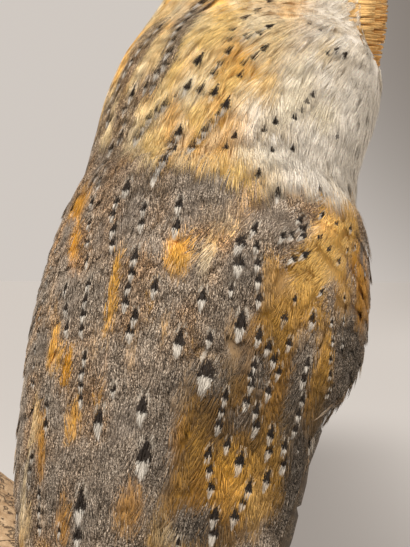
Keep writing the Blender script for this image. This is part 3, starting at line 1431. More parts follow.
def strand_tints(rows, middles, lie, across, n, tone):
    """Colours of strands, each taken a little aside of its place, some with a straw-coloured shine."""
    count = len(rows)
    shift = lie * rng.normal(0.0, 1.8, count)[:, None] + across * rng.normal(0.0, 0.9, count)[:, None]
    colors = coat_colors(middles + shift, n)
    shine = np.array([SHINE_VANED if r[0].zone in VANED else SHINE for r in rows])
    straw = (shine * rng.random(count) ** 2)[:, None]
    paler = colors[:, :3] * 0.85 + np.array(STRAW) * 0.3
    colors[:, :3] = colors[:, :3] * (1.0 - straw) + paler * straw
    tints = np.repeat(colors[:, None, :], STRAND_POINTS, axis=1)
    tints[:, :, :3] *= tone[:, None, None]
    return tints.reshape(-1, 4)


def strand_batch(rows, marks):
    """Arrays of many strands: points, faces, tints, spots and places on the unwrap."""
    count = len(rows)
    p = np.array([r[0].p for r in rows])
    n = np.array([r[0].n for r in rows])
    lie = np.array([r[0].lie for r in rows])
    across = np.array([r[1] for r in rows])
    start, reach, side_start, side_end, curl, lift_end, tone = (
        np.array([r[k] for r in rows]) for k in range(2, 9))
    width = np.array([STRAND_WIDTHS.get(r[0].zone, STRAND_WIDTH) for r in rows])
    size = np.array([r[0].length for r in rows])
    centres = []
    plans = []
    lifts = []
    for t in STATIONS:
        x = side_start + (side_end - side_start) * t + curl * t * t
        y = start + (reach - start) * t
        centres.append(p + lie * y[:, None] + across * x[:, None])
        plans.append(np.column_stack((x, y)))
        sink = STRAND_SINK * np.clip(1.0 - 2.5 * (y / size), 0.0, 1.0)
        lifts.append(lift_end * np.clip(y / size, 0, 1.1) ** 1.3 - sink)
    flat = np.stack(centres, axis=1).reshape(-1, 3)
    laid = guide.conform(flat, np.stack(lifts, axis=1).ravel()).reshape(count, STRAND_STATIONS, 3)
    points = np.empty((count, STRAND_POINTS, 3))
    spots = np.zeros((count, STRAND_POINTS, 3))
    for i, t in enumerate(STATIONS[:-1]):
        half = 0.5 * width * (1.0 - 0.5 * t)
        points[:, 3 * i] = laid[:, i] - across * half[:, None]
        points[:, 3 * i + 1] = laid[:, i] + n * (0.5 * half)[:, None]
        points[:, 3 * i + 2] = laid[:, i] + across * half[:, None]
        for k in range(3):
            spots[:, 3 * i + k, 0] = plans[i][:, 0] + (k - 1) * half
            spots[:, 3 * i + k, 1] = plans[i][:, 1]
    points[:, -1] = laid[:, -1]
    spots[:, -1, :2] = plans[-1]
    spots[:, :, 1] -= size[:, None]
    patches = tuft_patches(p, spots[:, :, 0] / PATCH_ACROSS, spots[:, :, 1] / PATCH_DOWN + 0.5)
    mark_spots(spots, points, laid[:, 1], marks)
    spots[:, :, 1] += rng.normal(0.0, 0.3, count)[:, None] * spots[:, :, 2]
    tints = strand_tints(rows, laid[:, 1], lie, across, n, tone)
    faces = repeated(STRAND_FACES, count, STRAND_POINTS)
    return points.reshape(-1, 3), faces, tints, spots.reshape(-1, 3), patches


# Vanes under the strands: sink, rise of the middle, sweep of the edges, raggedness, thickness,
# rows and columns of points, and share of the width by length
VANE_SINK = 0.4
VANE_ROOT_SINK = 1.4
VANE_CROWN = 0.2
VANE_SWEEP = 0.22
VANE_RAGGED = 0.35
VANE_THICKNESS = 0.15
VANE_ROWS = 8
VANE_COLUMNS = 5
CONTOUR = ((0.0, 0.35), (0.2, 0.75), (0.5, 1.0), (0.75, 0.98), (0.9, 0.72), (1.0, 0.3))


def plate_faces(rows, columns):
    """Triangles of a closed plate: top grid, bottom grid and walls."""
    under = rows * columns
    faces = []
    for i in range(rows - 1):
        for j in range(columns - 1):
            a = i * columns + j
            b = a + 1
            c = a + columns + 1
            d = a + columns
            faces += [(a, b, c), (a, c, d)]
            faces += [(under + a, under + c, under + b), (under + a, under + d, under + c)]
    rim = rim_of(rows, columns)
    for k, a in enumerate(rim):
        b = rim[(k + 1) % len(rim)]
        faces += [(b, a, under + a), (b, under + a, under + b)]
    return np.array(faces)


def vane_plan(t, c, row, length, width, p, lie, across):
    """One point of every vane: places on the plane of its root, and its own coordinates."""
    ragged = rng.uniform(-VANE_RAGGED, VANE_RAGGED, len(p)) if row > 2 else 0.0
    x = width * np.interp(t, [s[0] for s in CONTOUR], [s[1] for s in CONTOUR]) * c
    y = length * t - VANE_SWEEP * width * (2 * c) ** 2 * t + ragged
    return p + lie * y[:, None] + across * x[:, None], np.column_stack((x, y))


def contour_vanes(roots):
    """One thin closed vane a root, laid on the form, its edge a little ragged."""
    count = len(roots)
    grid = VANE_ROWS * VANE_COLUMNS
    p = np.array([r.p for r in roots])
    n = np.array([r.n for r in roots])
    lie = np.array([r.lie for r in roots])
    across = np.cross(n, lie)
    length = np.array([r.length for r in roots])
    width = np.array([r.width for r in roots])
    lift_end = np.array([r.lift for r in roots])
    mark = np.array([r.mark for r in roots])
    flat = np.empty((count, VANE_ROWS, VANE_COLUMNS, 3))
    plan = np.empty((count, VANE_ROWS, VANE_COLUMNS, 2))
    lifts = np.empty((count, VANE_ROWS, VANE_COLUMNS))
    for i, t in enumerate(np.linspace(0.0, 1.0, VANE_ROWS)):
        for j, c in enumerate(np.linspace(-0.5, 0.5, VANE_COLUMNS)):
            flat[:, i, j], plan[:, i, j] = vane_plan(t, c, i, length, width, p, lie, across)
            root = -VANE_ROOT_SINK * max(1.0 - 2.5 * t, 0.0)
            crown = VANE_CROWN * (1.0 - (2 * c) ** 2)
            lifts[:, i, j] = root + (lift_end + crown) * t**1.3 - VANE_SINK
    top = guide.conform(flat.reshape(-1, 3), lifts.ravel()).reshape(count, grid, 3)
    points = np.concatenate((top, top - n[:, None, :] * VANE_THICKNESS), axis=1)
    spots = np.empty((count, grid, 3))
    spots[:, :, :2] = plan.reshape(count, -1, 2)
    spots[:, :, 1] -= (length - MARK_FROM_TIP * mark)[:, None]
    spots[:, :, 2] = mark[:, None]
    colors = coat_colors(top.reshape(-1, 3), np.repeat(n, grid, axis=0)).reshape(count, -1, 4)
    colors[:, :, :3] *= rng.uniform(0.92, 1.08, count)[:, None, None]
    spots = np.concatenate((spots, spots), axis=1)
    colors = np.concatenate((colors, colors), axis=1)
    patches = tuft_patches(p, spots[:, :, 0] / PATCH_ACROSS, spots[:, :, 1] / PATCH_DOWN)
    faces = repeated(plate_faces(VANE_ROWS, VANE_COLUMNS), count, 2 * grid)
    return points.reshape(-1, 3), faces, colors.reshape(-1, 4), spots.reshape(-1, 3), patches


# Materials

class Nodes:
    """Short helpers to build one material's nodes."""

    def __init__(self, name):
        self.material = bpy.data.materials.new(name)
        self.material.use_nodes = True
        self.tree = self.material.node_tree
        self.shader = self.tree.nodes["Principled BSDF"]

    def put(self, socket, value):
        if isinstance(value, bpy.types.NodeSocket):
            self.tree.links.new(value, socket)
        else:
            socket.default_value = value

    def math(self, operation, a, b=0.0):
        made = self.tree.nodes.new("ShaderNodeMath")
        made.operation = operation
        self.put(made.inputs[0], a)
        self.put(made.inputs[1], b)
        return made.outputs[0]

    def times(self, a, b):
        return self.math("MULTIPLY", a, b)

    def plus(self, a, b):
        return self.math("ADD", a, b)

    def minus(self, a, b):
        return self.math("SUBTRACT", a, b)

    def mix(self, factor, a, b, kind="MIX"):
        made = self.tree.nodes.new("ShaderNodeMix")
        made.data_type = "RGBA"
        made.blend_type = kind
        self.put(made.inputs["Factor"], factor)
        self.put(made.inputs[6], a)
        self.put(made.inputs[7], b)
        return made.outputs[2]

    def span(self, value, low, high, to_low=0.0, to_high=1.0):
        made = self.tree.nodes.new("ShaderNodeMapRange")
        self.put(made.inputs["Value"], value)
        made.inputs["From Min"].default_value = low
        made.inputs["From Max"].default_value = high
        made.inputs["To Min"].default_value = to_low
        made.inputs["To Max"].default_value = to_high
        return made.outputs["Result"]

    def noise(self, vector, scale, detail=2.0, roughness=0.5):
        made = self.tree.nodes.new("ShaderNodeTexNoise")
        self.put(made.inputs["Vector"], vector)
        made.inputs["Scale"].default_value = scale
        made.inputs["Detail"].default_value = detail
        made.inputs["Roughness"].default_value = roughness
        return made.outputs["Fac"]

    def stretched(self, vector, x, y, z):
        made = self.tree.nodes.new("ShaderNodeMapping")
        self.put(made.inputs["Vector"], vector)
        made.inputs["Scale"].default_value = (x, y, z)
        return made.outputs["Vector"]

    def place(self):
        return self.tree.nodes.new("ShaderNodeTexCoord").outputs["Object"]

    def attribute(self, name):
        made = self.tree.nodes.new("ShaderNodeAttribute")
        made.attribute_name = name
        return made

    def parts(self, kind, value):
        """The three outputs of a node that takes a colour or a vector apart."""
        made = self.tree.nodes.new(kind)
        self.put(made.inputs[0], value)
        return made.outputs

    def normalized(self, vector):
        made = self.tree.nodes.new("ShaderNodeVectorMath")
        made.operation = "NORMALIZE"
        self.put(made.inputs[0], vector)
        return made.outputs["Vector"]

    def bump(self, height, strength, distance):
        made = self.tree.nodes.new("ShaderNodeBump")
        made.inputs["Strength"].default_value = strength
        made.inputs["Distance"].default_value = distance
        self.put(made.inputs["Height"], height)
        self.tree.links.new(made.outputs["Normal"], self.shader.inputs["Normal"])

    def color(self, value):
        self.put(self.shader.inputs["Base Color"], value)

    def vector(self, x, y, z):
        made = self.tree.nodes.new("ShaderNodeCombineXYZ")
        self.put(made.inputs[0], x)
        self.put(made.inputs[1], y)
        self.put(made.inputs[2], z)
        return made.outputs[0]

    def ramp(self, value, stops):
        made = self.tree.nodes.new("ShaderNodeValToRGB")
        band = made.color_ramp
        while len(band.elements) < len(stops):
            band.elements.new(0.5)
        for element, (place, color) in zip(band.elements, stops):
            element.position = place
            element.color = color + (1.0,)
        self.put(made.inputs["Fac"], value)
        return made.outputs["Color"]

    def wave(self, vector, kind, direction, scale, distortion, detail):
        made = self.tree.nodes.new("ShaderNodeTexWave")
        made.wave_type = kind
        if kind == "RINGS":
            made.rings_direction = direction
        else:
            made.bands_direction = direction
        self.put(made.inputs["Vector"], vector)
        made.inputs["Scale"].default_value = scale
        made.inputs["Distortion"].default_value = distortion
        made.inputs["Detail"].default_value = detail
        return made.outputs["Fac"]

    def lighter(self, color, factor):
        """A colour made lighter by a factor above 1, darker by one below."""
        made = self.tree.nodes.new("ShaderNodeVectorMath")
        made.operation = "SCALE"
        self.put(made.inputs[0], color)
        self.put(made.inputs["Scale"], factor)
        return made.outputs[0]

    def set(self, **values):
        for key, value in values.items():
            self.put(self.shader.inputs[key.replace("_", " ")], value)


# Colours of the grain's flecks by the noise's value
FLECKS = (
    (0.38, (0.022, 0.016, 0.011)),
    (0.46, (0.10, 0.072, 0.047)),
    (0.52, (0.33, 0.265, 0.195)),
    (0.61, (0.78, 0.68, 0.56)),
)


def grained_color(m, paint, place, x, y):
    """The tint under dark, brown and pale flecks, silvery in some places and browner in others."""
    tint = paint.outputs["Color"]
    red, _, blue = m.parts("ShaderNodeSeparateColor", tint)
    seed = m.times(m.noise(place, 40.0, 1.0), 8.0)
    lie = m.vector(m.times(x, 1.1), m.times(y, 0.22), seed)
    fine = m.vector(m.times(x, 2.7), m.times(y, 1.35), seed)
    flecks = m.ramp(m.noise(fine, 1.0, 3.0, 0.7), FLECKS)
    flecks = m.lighter(flecks, m.span(m.noise(lie, 2.4, 2.0, 0.6), 0.32, 0.68, 0.6, 1.35))
    calm = m.times(m.span(blue, 0.25, 0.5), m.span(m.noise(place, 70.0, 2.0), 0.42, 0.62, 0.1, 0.6))
    flecks = m.mix(calm, flecks, CALM_GREY)
    flecks = m.lighter(flecks, m.span(red, DUSK[0], 0.56, 0.36, 1.0))
    silver = m.span(m.noise(place, 110.0, 3.0, 0.6), 0.36, 0.64, 0.62, 0.34)
    washed = m.lighter(m.mix(silver, (1.0, 1.0, 1.0, 1.0), tint), 1.42)
    washed = m.mix(1.0, flecks, washed, "MULTIPLY")
    clumps = m.plus(m.times(m.noise(lie, 1.0, 3.0, 0.65), 0.6),
                    m.times(m.noise(place, 1100.0, 3.0, 0.7), 0.4))
    cover = m.minus(m.span(paint.outputs["Alpha"], 0.0, 1.0, 0.18, 0.86), clumps)
    hue = m.span(m.noise(lie, 2.3, 2.0, 0.6), 0.3, 0.7, 0.72, 1.25)
    return m.mix(m.span(cover, -0.10, 0.10), m.lighter(tint, hue), washed)


def with_mark(m, color, paint, place, x, y, size):
    """A dark arrowhead that points to the root, a pale wedge below it and a pale V over its
    shoulders, in units of the mark's size."""
    safe = m.math("MAXIMUM", size, 0.01)
    wobble = m.times(m.minus(m.noise(place, 1300.0, 2.0), 0.5), 1.3)
    across = m.plus(m.math("ABSOLUTE", m.math("DIVIDE", x, safe)), wobble)
    down = m.minus(m.math("DIVIDE", y, safe), wobble)
    dark_half = m.span(down, -4.6, -0.4, 0.0, 1.5)
    dark = m.times(m.span(m.minus(dark_half, across), -0.1, 0.2),
                   m.span(m.plus(down, m.times(across, 0.35)), 0.1, 0.5, 1.0, 0.0))
    pale_half = m.span(down, 0.0, 3.1, 1.25, 0.35)
    pale = m.times(m.span(m.minus(pale_half, across), -0.15, 0.25),
                   m.times(m.span(down, -0.2, 0.2), m.span(down, 2.7, 3.2, 1.0, 0.0)))
    gap = m.math("ABSOLUTE", m.minus(across, m.plus(dark_half, 0.55)))
    shoulder = m.times(m.span(gap, 0.1, 0.5, 0.75, 0.0),
                       m.times(m.span(down, -5.4, -4.6), m.span(down, -2.8, -2.0, 1.0, 0.0)))
    there = m.span(size, 0.15, 0.2)
    pale_there = m.times(there, m.span(paint.outputs["Alpha"], 0.02, 0.3))
    color = m.mix(m.times(shoulder, pale_there), color, MARK_SHOULDER)
    color = m.mix(m.times(dark, there), color, MARK_DARK)
    return m.mix(m.times(pale, pale_there), color, MARK_PALE)


def feather_material(name, sheen):
    """Tint with fine grain of black and pale flecks, barbs and a dark and a white drop."""
    m = Nodes(name)
    paint = m.attribute("tint")
    place = m.place()
    x, y, size = m.parts("ShaderNodeSeparateXYZ", m.attribute("spot").outputs["Vector"])
    color = grained_color(m, paint, place, x, y)
    slant = m.minus(y, m.times(m.math("ABSOLUTE", x), 0.9))
    barbs = m.noise(m.vector(m.times(x, 0.35), slant, 0.0), 2.2, 2.0, 0.7)
    color = m.lighter(color, m.span(barbs, 0.3, 0.7, 0.88, 1.12))
    m.color(with_mark(m, color, paint, place, x, y, size))
    m.set(Roughness=0.72, Sheen_Weight=sheen, Sheen_Roughness=0.4, Specular_IOR_Level=0.18)
    m.bump(barbs, 0.2, 0.0002)
    return m.material


body_look = feather_material("feathers_body", 0.08)


def dress(piece, look, slot, *nodes):
    piece.data.materials.clear()
    piece.data.materials.append(look)
    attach(piece, "root")
    if nodes:
        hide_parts(*nodes)
    return piece


# Size of the skin's grain across the unwrap, depth of the skin under the form, and the solids
# that it stands for
SKIN_SPREAD = 450.0
SKIN_SINK = 1.7
SKIN_NODES = ("torso", "neck", "head", "face", "mantle", "wing_left", "wing_right", "leg_left", "leg_right")


def sunk_points(points, normals):
    """The form's points drawn in by the coat's depth, by less where the form is thin."""
    sunk = np.empty(len(points))
    for i in range(len(points)):
        n = Vector(normals[i])
        hit, _, _, distance = guide.tree.ray_cast(Vector(points[i]) - n * 0.2, -n)
        sunk[i] = SKIN_SINK if hit is None else min(SKIN_SINK, 0.3 * distance)
    return points - normals * sunk[:, None]


def corner_places(mesh, points):
    """Places of the faces' corners on the unwrap, each face kept on one side of its seams."""
    corner = np.empty(len(mesh.loops), dtype=np.int32)
    mesh.loops.foreach_get("vertex_index", corner)
    totals = np.empty(len(mesh.polygons), dtype=np.int32)
    mesh.polygons.foreach_get("loop_total", totals)
    owner = np.repeat(np.arange(len(totals)), totals)
    centres = np.zeros((len(totals), 3))
    np.add.at(centres, owner, points[corner])
    centres /= totals[:, None]
    places = unwrap(points[corner], is_head(centres)[owner])
    places[:, 0] -= UNWRAP_WIDE * np.round(places[:, 0] - unwrap(centres)[owner, 0])
    return np.clip(places, 0.0, 1.0)


def finish_skin():
    """Sink the form by the coat's depth, paint it like the coat and unwrap it."""
    mesh = skin.data
    points = guide.points
    normals = vectors(mesh.vertices, "normal")
    colors = coat_colors(points, normals)
    mesh.vertices.foreach_set("co", (sunk_points(points, normals) * MM).ravel())
    add_colors(mesh, "tint", colors)
    add_spots(mesh, np.column_stack((unwrap(points) * SKIN_SPREAD, np.zeros(len(points)))))
    add_unwrap(mesh, corner_places(mesh, points))
    mesh.update()
    mesh.shade_smooth()
    dress(skin, body_look, "feathers_body", *SKIN_NODES)


roots = place_roots()
vaned = [r for r in roots if r.zone in VANED and not is_swept(r)]
feather_piece("coat_vanes", [contour_vanes(vaned)], "feathers_wing")
for number, part in enumerate(strands(roots), 1):
    feather_piece("coat_tufts_%d" % number, [part], "feathers_body")
finish_skin()


# Flight feathers: one long closed vane each, with its own strip of the unwrap

# The innermost wing feathers: number, places along the arc of the back, tips' heights, width, shape
# and unevenness, and depth under the wing's surface by height
TERTIAL_COUNT = 6
TERTIAL_FIRST = 5.0
TERTIAL_STEP = 9.5
TERTIAL_TIPS = (-66.0, -38.0)
TERTIAL_WIDTH = 20.0
TERTIAL_SHAPE = ((0.0, 0.5), (0.5, 1.0), (0.8, 0.92), (0.92, 0.68), (1.0, 0.3))
TERTIAL_UNEVEN = 14.0
TERTIAL_DEPTH = ((20.0, 2.4), (0.0, 2.1), (-16.0, 1.5), (-25.0, 0.4), (-36.0, -0.1), (-70.0, 0.4))

# Flight feathers: sweep of the edges, camber, raised quill, and width left where an edge is nicked
LONG_SWEEP = 0.10
LONG_CAMBER = 0.35
LONG_QUILL = 0.25
NICKED = 0.84

# Rows and columns of points of a flight feather, and its thickness
LONG_GRID = (34, 9, 0.3)
TERTIAL_GRID = (18, 7, 0.3)

# Dark bars, as shares of a feather's length
BARS = (0.30, 0.47, 0.64, 0.81)


def shape_width(shape, t):
    return float(np.interp(t, [c[0] for c in shape], [c[1] for c in shape]))


def long_vane(place, root, tip, width, shape, paint, cell, grid=LONG_GRID, mark=0.0):
    """Arrays of one vane: place(across, along, drop) gives its points, paint(t, c) its colour."""
    rows, columns, thickness = grid
    line = Vector((tip[0] - root[0], tip[1] - root[1]))
    across = Vector((-line.y, line.x)).normalized()
    nicks = 3 if rows > 20 else 0
    nick_rows = {random.randrange(int(rows * 0.45), rows - 2): random.choice((-1, 1)) for _ in range(nicks)}
    u0, v0, u1, v1 = cell
    samples = []
    for i in range(rows):
        t = i / (rows - 1)
        share = shape_width(shape, t)
        for c in np.linspace(-0.5, 0.5, columns):
            x = c * width * share
            if i in nick_rows and abs(c) > 0.45 and c * nick_rows[i] > 0:
                x *= NICKED
            sweep = -LONG_SWEEP * width * (2 * c) ** 2 if t > 0.05 else 0.0
            spot = Vector(root) + line * t + across * x + line.normalized() * sweep
            camber = -LONG_CAMBER * (1.0 - (2 * c) ** 2)
            quill = -LONG_QUILL * (1.0 - t) * math.exp(-(c / 0.05) ** 2)
            samples.append((
                place(spot.x, spot.y, camber + quill),
                place(spot.x, spot.y, camber + thickness),
                paint(t, 2 * c),
                (x, line.length * (t - 1.0) + sweep + LONG_MARK_FROM_TIP * mark, mark),
                (u0 + (u1 - u0) * (c + 0.5), v0 + (v1 - v0) * t),
            ))
    tops, bottoms, tints, spots, patches = zip(*samples)
    points = np.array([tuple(p) for p in tops + bottoms])
    faces = plate_faces(rows, columns)
    return points, faces, np.array(tints * 2), np.array(spots * 2), np.array(patches * 2)


def strip(number, total):
    """One of total cells of the unwrap, as low and high corners."""
    wide = math.ceil(math.sqrt(total * 3.0))
    tall = math.ceil(total / wide)
    column = number % wide
    row = number // wide
    return ((column + 0.06) / wide, (row + 0.03) / tall, (column + 0.94) / wide, (row + 0.97) / tall)


def over(color, other, share):
    """One colour mixed with a share of another."""
    return color * (1.0 - share) + np.array(other) * share


def barred(base, inner_side, tip_grain=0.9, inner_pale=0.6):
    """Colour of a flight feather: outer web with dark bars, whitish inner web, grained tip."""
    shift = random.uniform(-0.02, 0.02)
    tone = random.uniform(0.93, 1.07)

    def paint(t, c):
        inner = float(ramp(-0.1, 0.5, c * inner_side))
        color = over(np.array(base) * tone, INNER_WEB, inner_pale * inner)
        dark = max(math.exp(-((t - b - shift - 0.02 * abs(c)) / 0.028) ** 2) for b in BARS)
        color = over(color, BAR_BROWN, 0.82 * dark)
        color = over(color, QUILL, 0.5 * math.exp(-(c / 0.07) ** 2))
        grain = tip_grain * float(ramp(0.72, 0.95, t)) + 0.55 * (1.0 - inner * inner_pale / 0.6)
        return (*color, min(grain, 1.0) * (1.0 - 0.6 * dark))

    return paint


def blend(ends, share):
    return ends[0] + (ends[1] - ends[0]) * share


def between(ends, share):
    return tuple(blend(pair, share) for pair in zip(*ends))


def primary_vanes(side, total):
    """The ten primaries of one wing, from the outermost layer inward."""
    made = []
    for k in range(PRIMARY_COUNT):
        def place(s, height, drop, level=k):
            depth = smooth_value(PRIMARY_DEPTH, height) + level * smooth_value(PRIMARY_STEP, height) + drop
            return on_back(s, height, -depth, side)

        share = k / (PRIMARY_COUNT - 1)
        reach = math.sin(0.5 * math.pi * k / (PRIMARY_COUNT - 2))
        root = between(PRIMARY_ROOTS, share)
        tip = (blend(PRIMARY_TIP_S, share), PRIMARY_FIRST_TIP - PRIMARY_TIP_SPREAD * reach)
        paint = barred(CREAM if k == PRIMARY_COUNT - 1 and side == 1 else PRIMARY_BROWN, -1)
        made.append(long_vane(place, root, tip, PRIMARY_WIDTH, VANE_SHAPE, paint, strip(k, total)))
    return made


def secondary_vanes(side, total):
    """The eleven secondaries of one wing, the outer ones browner."""
    def place(s, height, drop):
        depth = smooth_value(SECONDARY_DEPTH, height) + 0.15 * s / 10.0 + drop
        return on_back(s, height, -depth, side)

    made = []
    for k in range(SECONDARY_COUNT):
        share = k / (SECONDARY_COUNT - 1)
        root = between(SECONDARY_ROOTS, share)
        across, end = between(SECONDARY_TIPS, share)
        tip = (across, end + random.uniform(-1.0, 1.0))
        paint = barred(SECONDARY_BROWN if k < 3 else WING_GOLD, -1, inner_pale=0.2)
        cell = strip(PRIMARY_COUNT + k, total)
        made.append(long_vane(place, root, tip, SECONDARY_WIDTH, VANE_SHAPE, paint, cell))
    return made


def tertial_vanes(side, total):
    """The innermost feathers of one wing, that lie over the others; their depths are uneven."""
    made = []
    for k in range(TERTIAL_COUNT):
        def place(s, height, drop, level=k):
            rise = TERTIAL_UNEVEN * ((0.38 * level + 0.2 * side) % 1.0)
            depth = smooth_value(TERTIAL_DEPTH, height + rise) + 0.12 * level + drop
            return on_back(s, height, -depth, side)

        s = TERTIAL_FIRST + TERTIAL_STEP * k
        low = blend(TERTIAL_TIPS, k / (TERTIAL_COUNT - 1))
        tip = (0.84 * s, low + random.uniform(-3.0, 3.0))
        mark = random.choice((0.0, 0.7, 1.0)) if k % 2 else 0.0
        cell = strip(PRIMARY_COUNT + SECONDARY_COUNT + k, total)
        made.append(long_vane(place, (s + 2.0, 2.0), tip, TERTIAL_WIDTH, TERTIAL_SHAPE, grained(), cell,
                              TERTIAL_GRID, mark))
    return made


def wing_vanes(side):
    total = PRIMARY_COUNT + SECONDARY_COUNT + TERTIAL_COUNT
    return primary_vanes(side, total) + secondary_vanes(side, total) + tertial_vanes(side, total)


def grained():
    """Colour of a wing feather that lies outermost: grey grain over gold."""
    warm = random.uniform(0.1, 0.7)
    base = (np.array(SILVER) * (1.0 - warm) + np.array(GOLD) * warm) * random.uniform(0.5, 0.72)

    def paint(_, c):
        edge = float(ramp(0.5, 1.0, abs(c))) * warm
        return (*over(base, GOLD, edge), 1.0 - 0.45 * edge)

    return paint


def tail_point(x, height, drop):
    top = TAIL_RISE - TAIL_RISE_SLOPE * height - x * x / 160.0
    return from_body(x, top - drop, height)


def tail_vanes():
    """The tail's pairs of feathers, the middle ones on top."""
    made = []
    for i in range(TAIL_PAIRS):
        for side, step in ((1, 0), (-1, 1)):
            def place(x, height, drop, level=2 * i + step):
                return tail_point(x, height, drop + 0.3 + 0.8 * level)

            root = (side * (2.0 + 1.4 * i), 4.0)
            tip = (side * (4.0 + 4.2 * i), TAIL_TIP + 0.45 * i * i)
            paint = barred(TAIL_GOLD, -side, tip_grain=0.5)
            cell = strip(2 * i + step, 2 * TAIL_PAIRS)
            made.append(long_vane(place, root, tip, TAIL_WIDTH - 0.5 * i, VANE_SHAPE, paint, cell))
    return made


# The ruff: rows of short stiff feathers that stand round the disc

# Distance from the disc, number of feathers, reach forward and width
RUFF_ROWS = (
    (0.5, 390, 24.6, 1.1), (1.3, 390, 25.2, 1.05), (2.1, 390, 25.2, 1.0), (3.0, 390, 24.3, 1.0),
    (4.0, 370, 22.0, 1.05), (5.0, 350, 18.5, 1.1),
)
RUFF_COLORS = (
    (0.5, (0.93, 0.82, 0.64)), (1.3, (0.90, 0.66, 0.36)), (2.1, (0.74, 0.38, 0.11)),
    (3.0, (0.78, 0.42, 0.13)), (4.0, (0.84, 0.50, 0.18)), (5.0, (0.86, 0.54, 0.21)),
)
RUFF_SHAPE = ((0.0, 0.6), (0.5, 1.0), (0.85, 0.95), (1.0, 0.6))
RUFF_DARK = (0.085, 0.045, 0.025)
RUFF_GRID = (5, 2, 0.22)


def ruff_vane(angle, margin, tip_forward, width, cell):
    """One stiff narrow feather of the ruff."""
    reach = tip_forward - 1.6 * random.random() ** 3 + random.uniform(-0.3, 0.2)
    begin = RUFF_ROOT - 2.0 + 7.0 * random.random() ** 2 - 0.6 * (margin - 2.0)
    depth = reach - begin
    level = margin + random.uniform(-0.3, 0.3)
    skew = random.uniform(-0.03, 0.03)
    tone = random.uniform(0.85, 1.15)
    dark_tip = 0.75 * random.random() if 1.8 < margin < 2.6 else 0.3 * random.random() ** 2
    rows = [row[0] for row in RUFF_COLORS]
    own = np.array([np.interp(margin, rows, [row[1][k] for row in RUFF_COLORS]) for k in range(3)])

    def place(x, y, drop):
        t = y / depth
        turn = angle + x / (disc_radius(angle) + level) + skew * t
        out = disc_radius(turn) + level - 0.8 * (1.0 - t) ** 2 + 0.8 * t * t - 0.5 * drop + 0.1 * x
        return on_head(out * math.sin(turn), begin + y, out * math.cos(turn))

    def paint(t, _):
        color = over(own * tone, CREAM, 0.6 * float(ramp(0.5, 0.0, t)))
        return (*over(color, RUFF_DARK, dark_tip * float(ramp(0.8, 0.97, t))), 0.0)

    return long_vane(place, (0.0, 0.0), (0.0, depth), width, RUFF_SHAPE, paint, cell, RUFF_GRID)


def ruff_piece():
    parts = []
    total = sum(row[1] for row in RUFF_ROWS)
    for margin, count, tip_forward, width in RUFF_ROWS:
        for i in range(count):
            angle = 2 * math.pi * (i + random.uniform(-0.5, 0.5)) / count
            parts.append(ruff_vane(angle, margin, tip_forward, width, strip(len(parts), total)))
    return feather_piece("ruff", parts, "feathers_face")


# Eyes, lids and bill

LID_STEPS = 48
LID_SIDES = 10


def glass_material():
    m = Nodes("dark_eye_glass")
    m.color((0.012, 0.008, 0.006, 1.0))
    m.set(Roughness=0.05, Coat_Weight=0.2, Coat_Roughness=0.02)
    return m.material


def ball(name, centre, radius, bulge):
    """A glass eye with a slight bulge forward."""
    rings = []
    for i in range(1, 28):
        a = math.pi * i / 28
        size = radius + bulge * max(math.cos(a), 0.0) ** 3
        ring = []
        for b in turns(48):
            out = HEAD_ACROSS * math.sin(a) * math.cos(b) + Vector((0, 0, 1)) * math.sin(a) * math.sin(b)
            ring.append(centre + (out + HEAD_FORWARD * math.cos(a)) * size)
        rings.append(ring)
    return loft(name, rings)


def lid_piece():
    """Soft rims of bare skin round both eyes, the upper lid heavier."""
    points = []
    faces = []
    for side in (1, -1):
        start = len(points)
        for i, a in enumerate(turns(LID_STEPS)):
            thick = 1.1 + 0.7 * max(math.sin(a), 0.0)
            forward = EYE_FORWARD + 3.4 + 0.5 * math.cos(2 * a)
            here = start + i * LID_SIDES
            after = start + (i + 1) % LID_STEPS * LID_SIDES
            for j, b in enumerate(turns(LID_SIDES)):
                out = EYE_RADIUS - 0.55 + thick * math.cos(b) * 0.9
                x = side * EYE_SIDE + out * math.cos(a) * 1.05
                y = EYE_UP + out * math.sin(a) * 0.94
                points.append(on_head(x, forward + thick * math.sin(b), y))
                k = (j + 1) % LID_SIDES
                faces.append((here + j, here + k, after + k, after + j))
    made = mesh_object("eyelids", points, faces)
    m = Nodes("lid_skin")
    grain = m.noise(m.place(), 900.0, 3.0, 0.6)
    m.color(m.mix(grain, (0.20, 0.13, 0.10, 1.0), (0.42, 0.31, 0.25, 1.0)))
    m.set(Roughness=0.6)
    m.bump(grain, 0.4, 0.0002)
    return dress(made, m.material, "feathers_face")


def horn_material(name, dark, pale, roughness):
    m = Nodes(name)
    place = m.place()
    streak = m.noise(m.stretched(place, 900.0, 900.0, 160.0), 1.0, 3.0, 0.6)
    m.color(m.mix(m.span(streak, 0.3, 0.7), dark, pale))
    m.set(Roughness=roughness, Coat_Weight=0.25, Coat_Roughness=0.2)
    m.bump(streak, 0.25, 0.0001)
    return m.material


def upper_bill():
    route = []
    radii = []
    for i in range(28):
        t = i / 27
        bend = 1.25 * t
        forward = BILL_FORWARD + 11.0 * math.sin(bend)
        up = BILL_UP - 15.0 * (1 - math.cos(bend)) - 7.0 * t
        route.append(on_head(0, forward, up))
        radii.append(BILL_RADIUS * (1 - t) ** 0.75 + 0.35)
    made = tube("bill_upper_horn", route, radii, 28)
    for side in (1, -1):
        nostril = on_head(side * BILL_RADIUS * 0.86, BILL_FORWARD + 5.2, BILL_UP - 2.4) * MM
        inward = -HEAD_ACROSS * side
        for v in made.data.vertices:
            near = (v.co - nostril).length / (1.5 * MM)
            if near < 1.0:
                v.co += inward * 0.9 * MM * (1.0 - near * near)
    return made


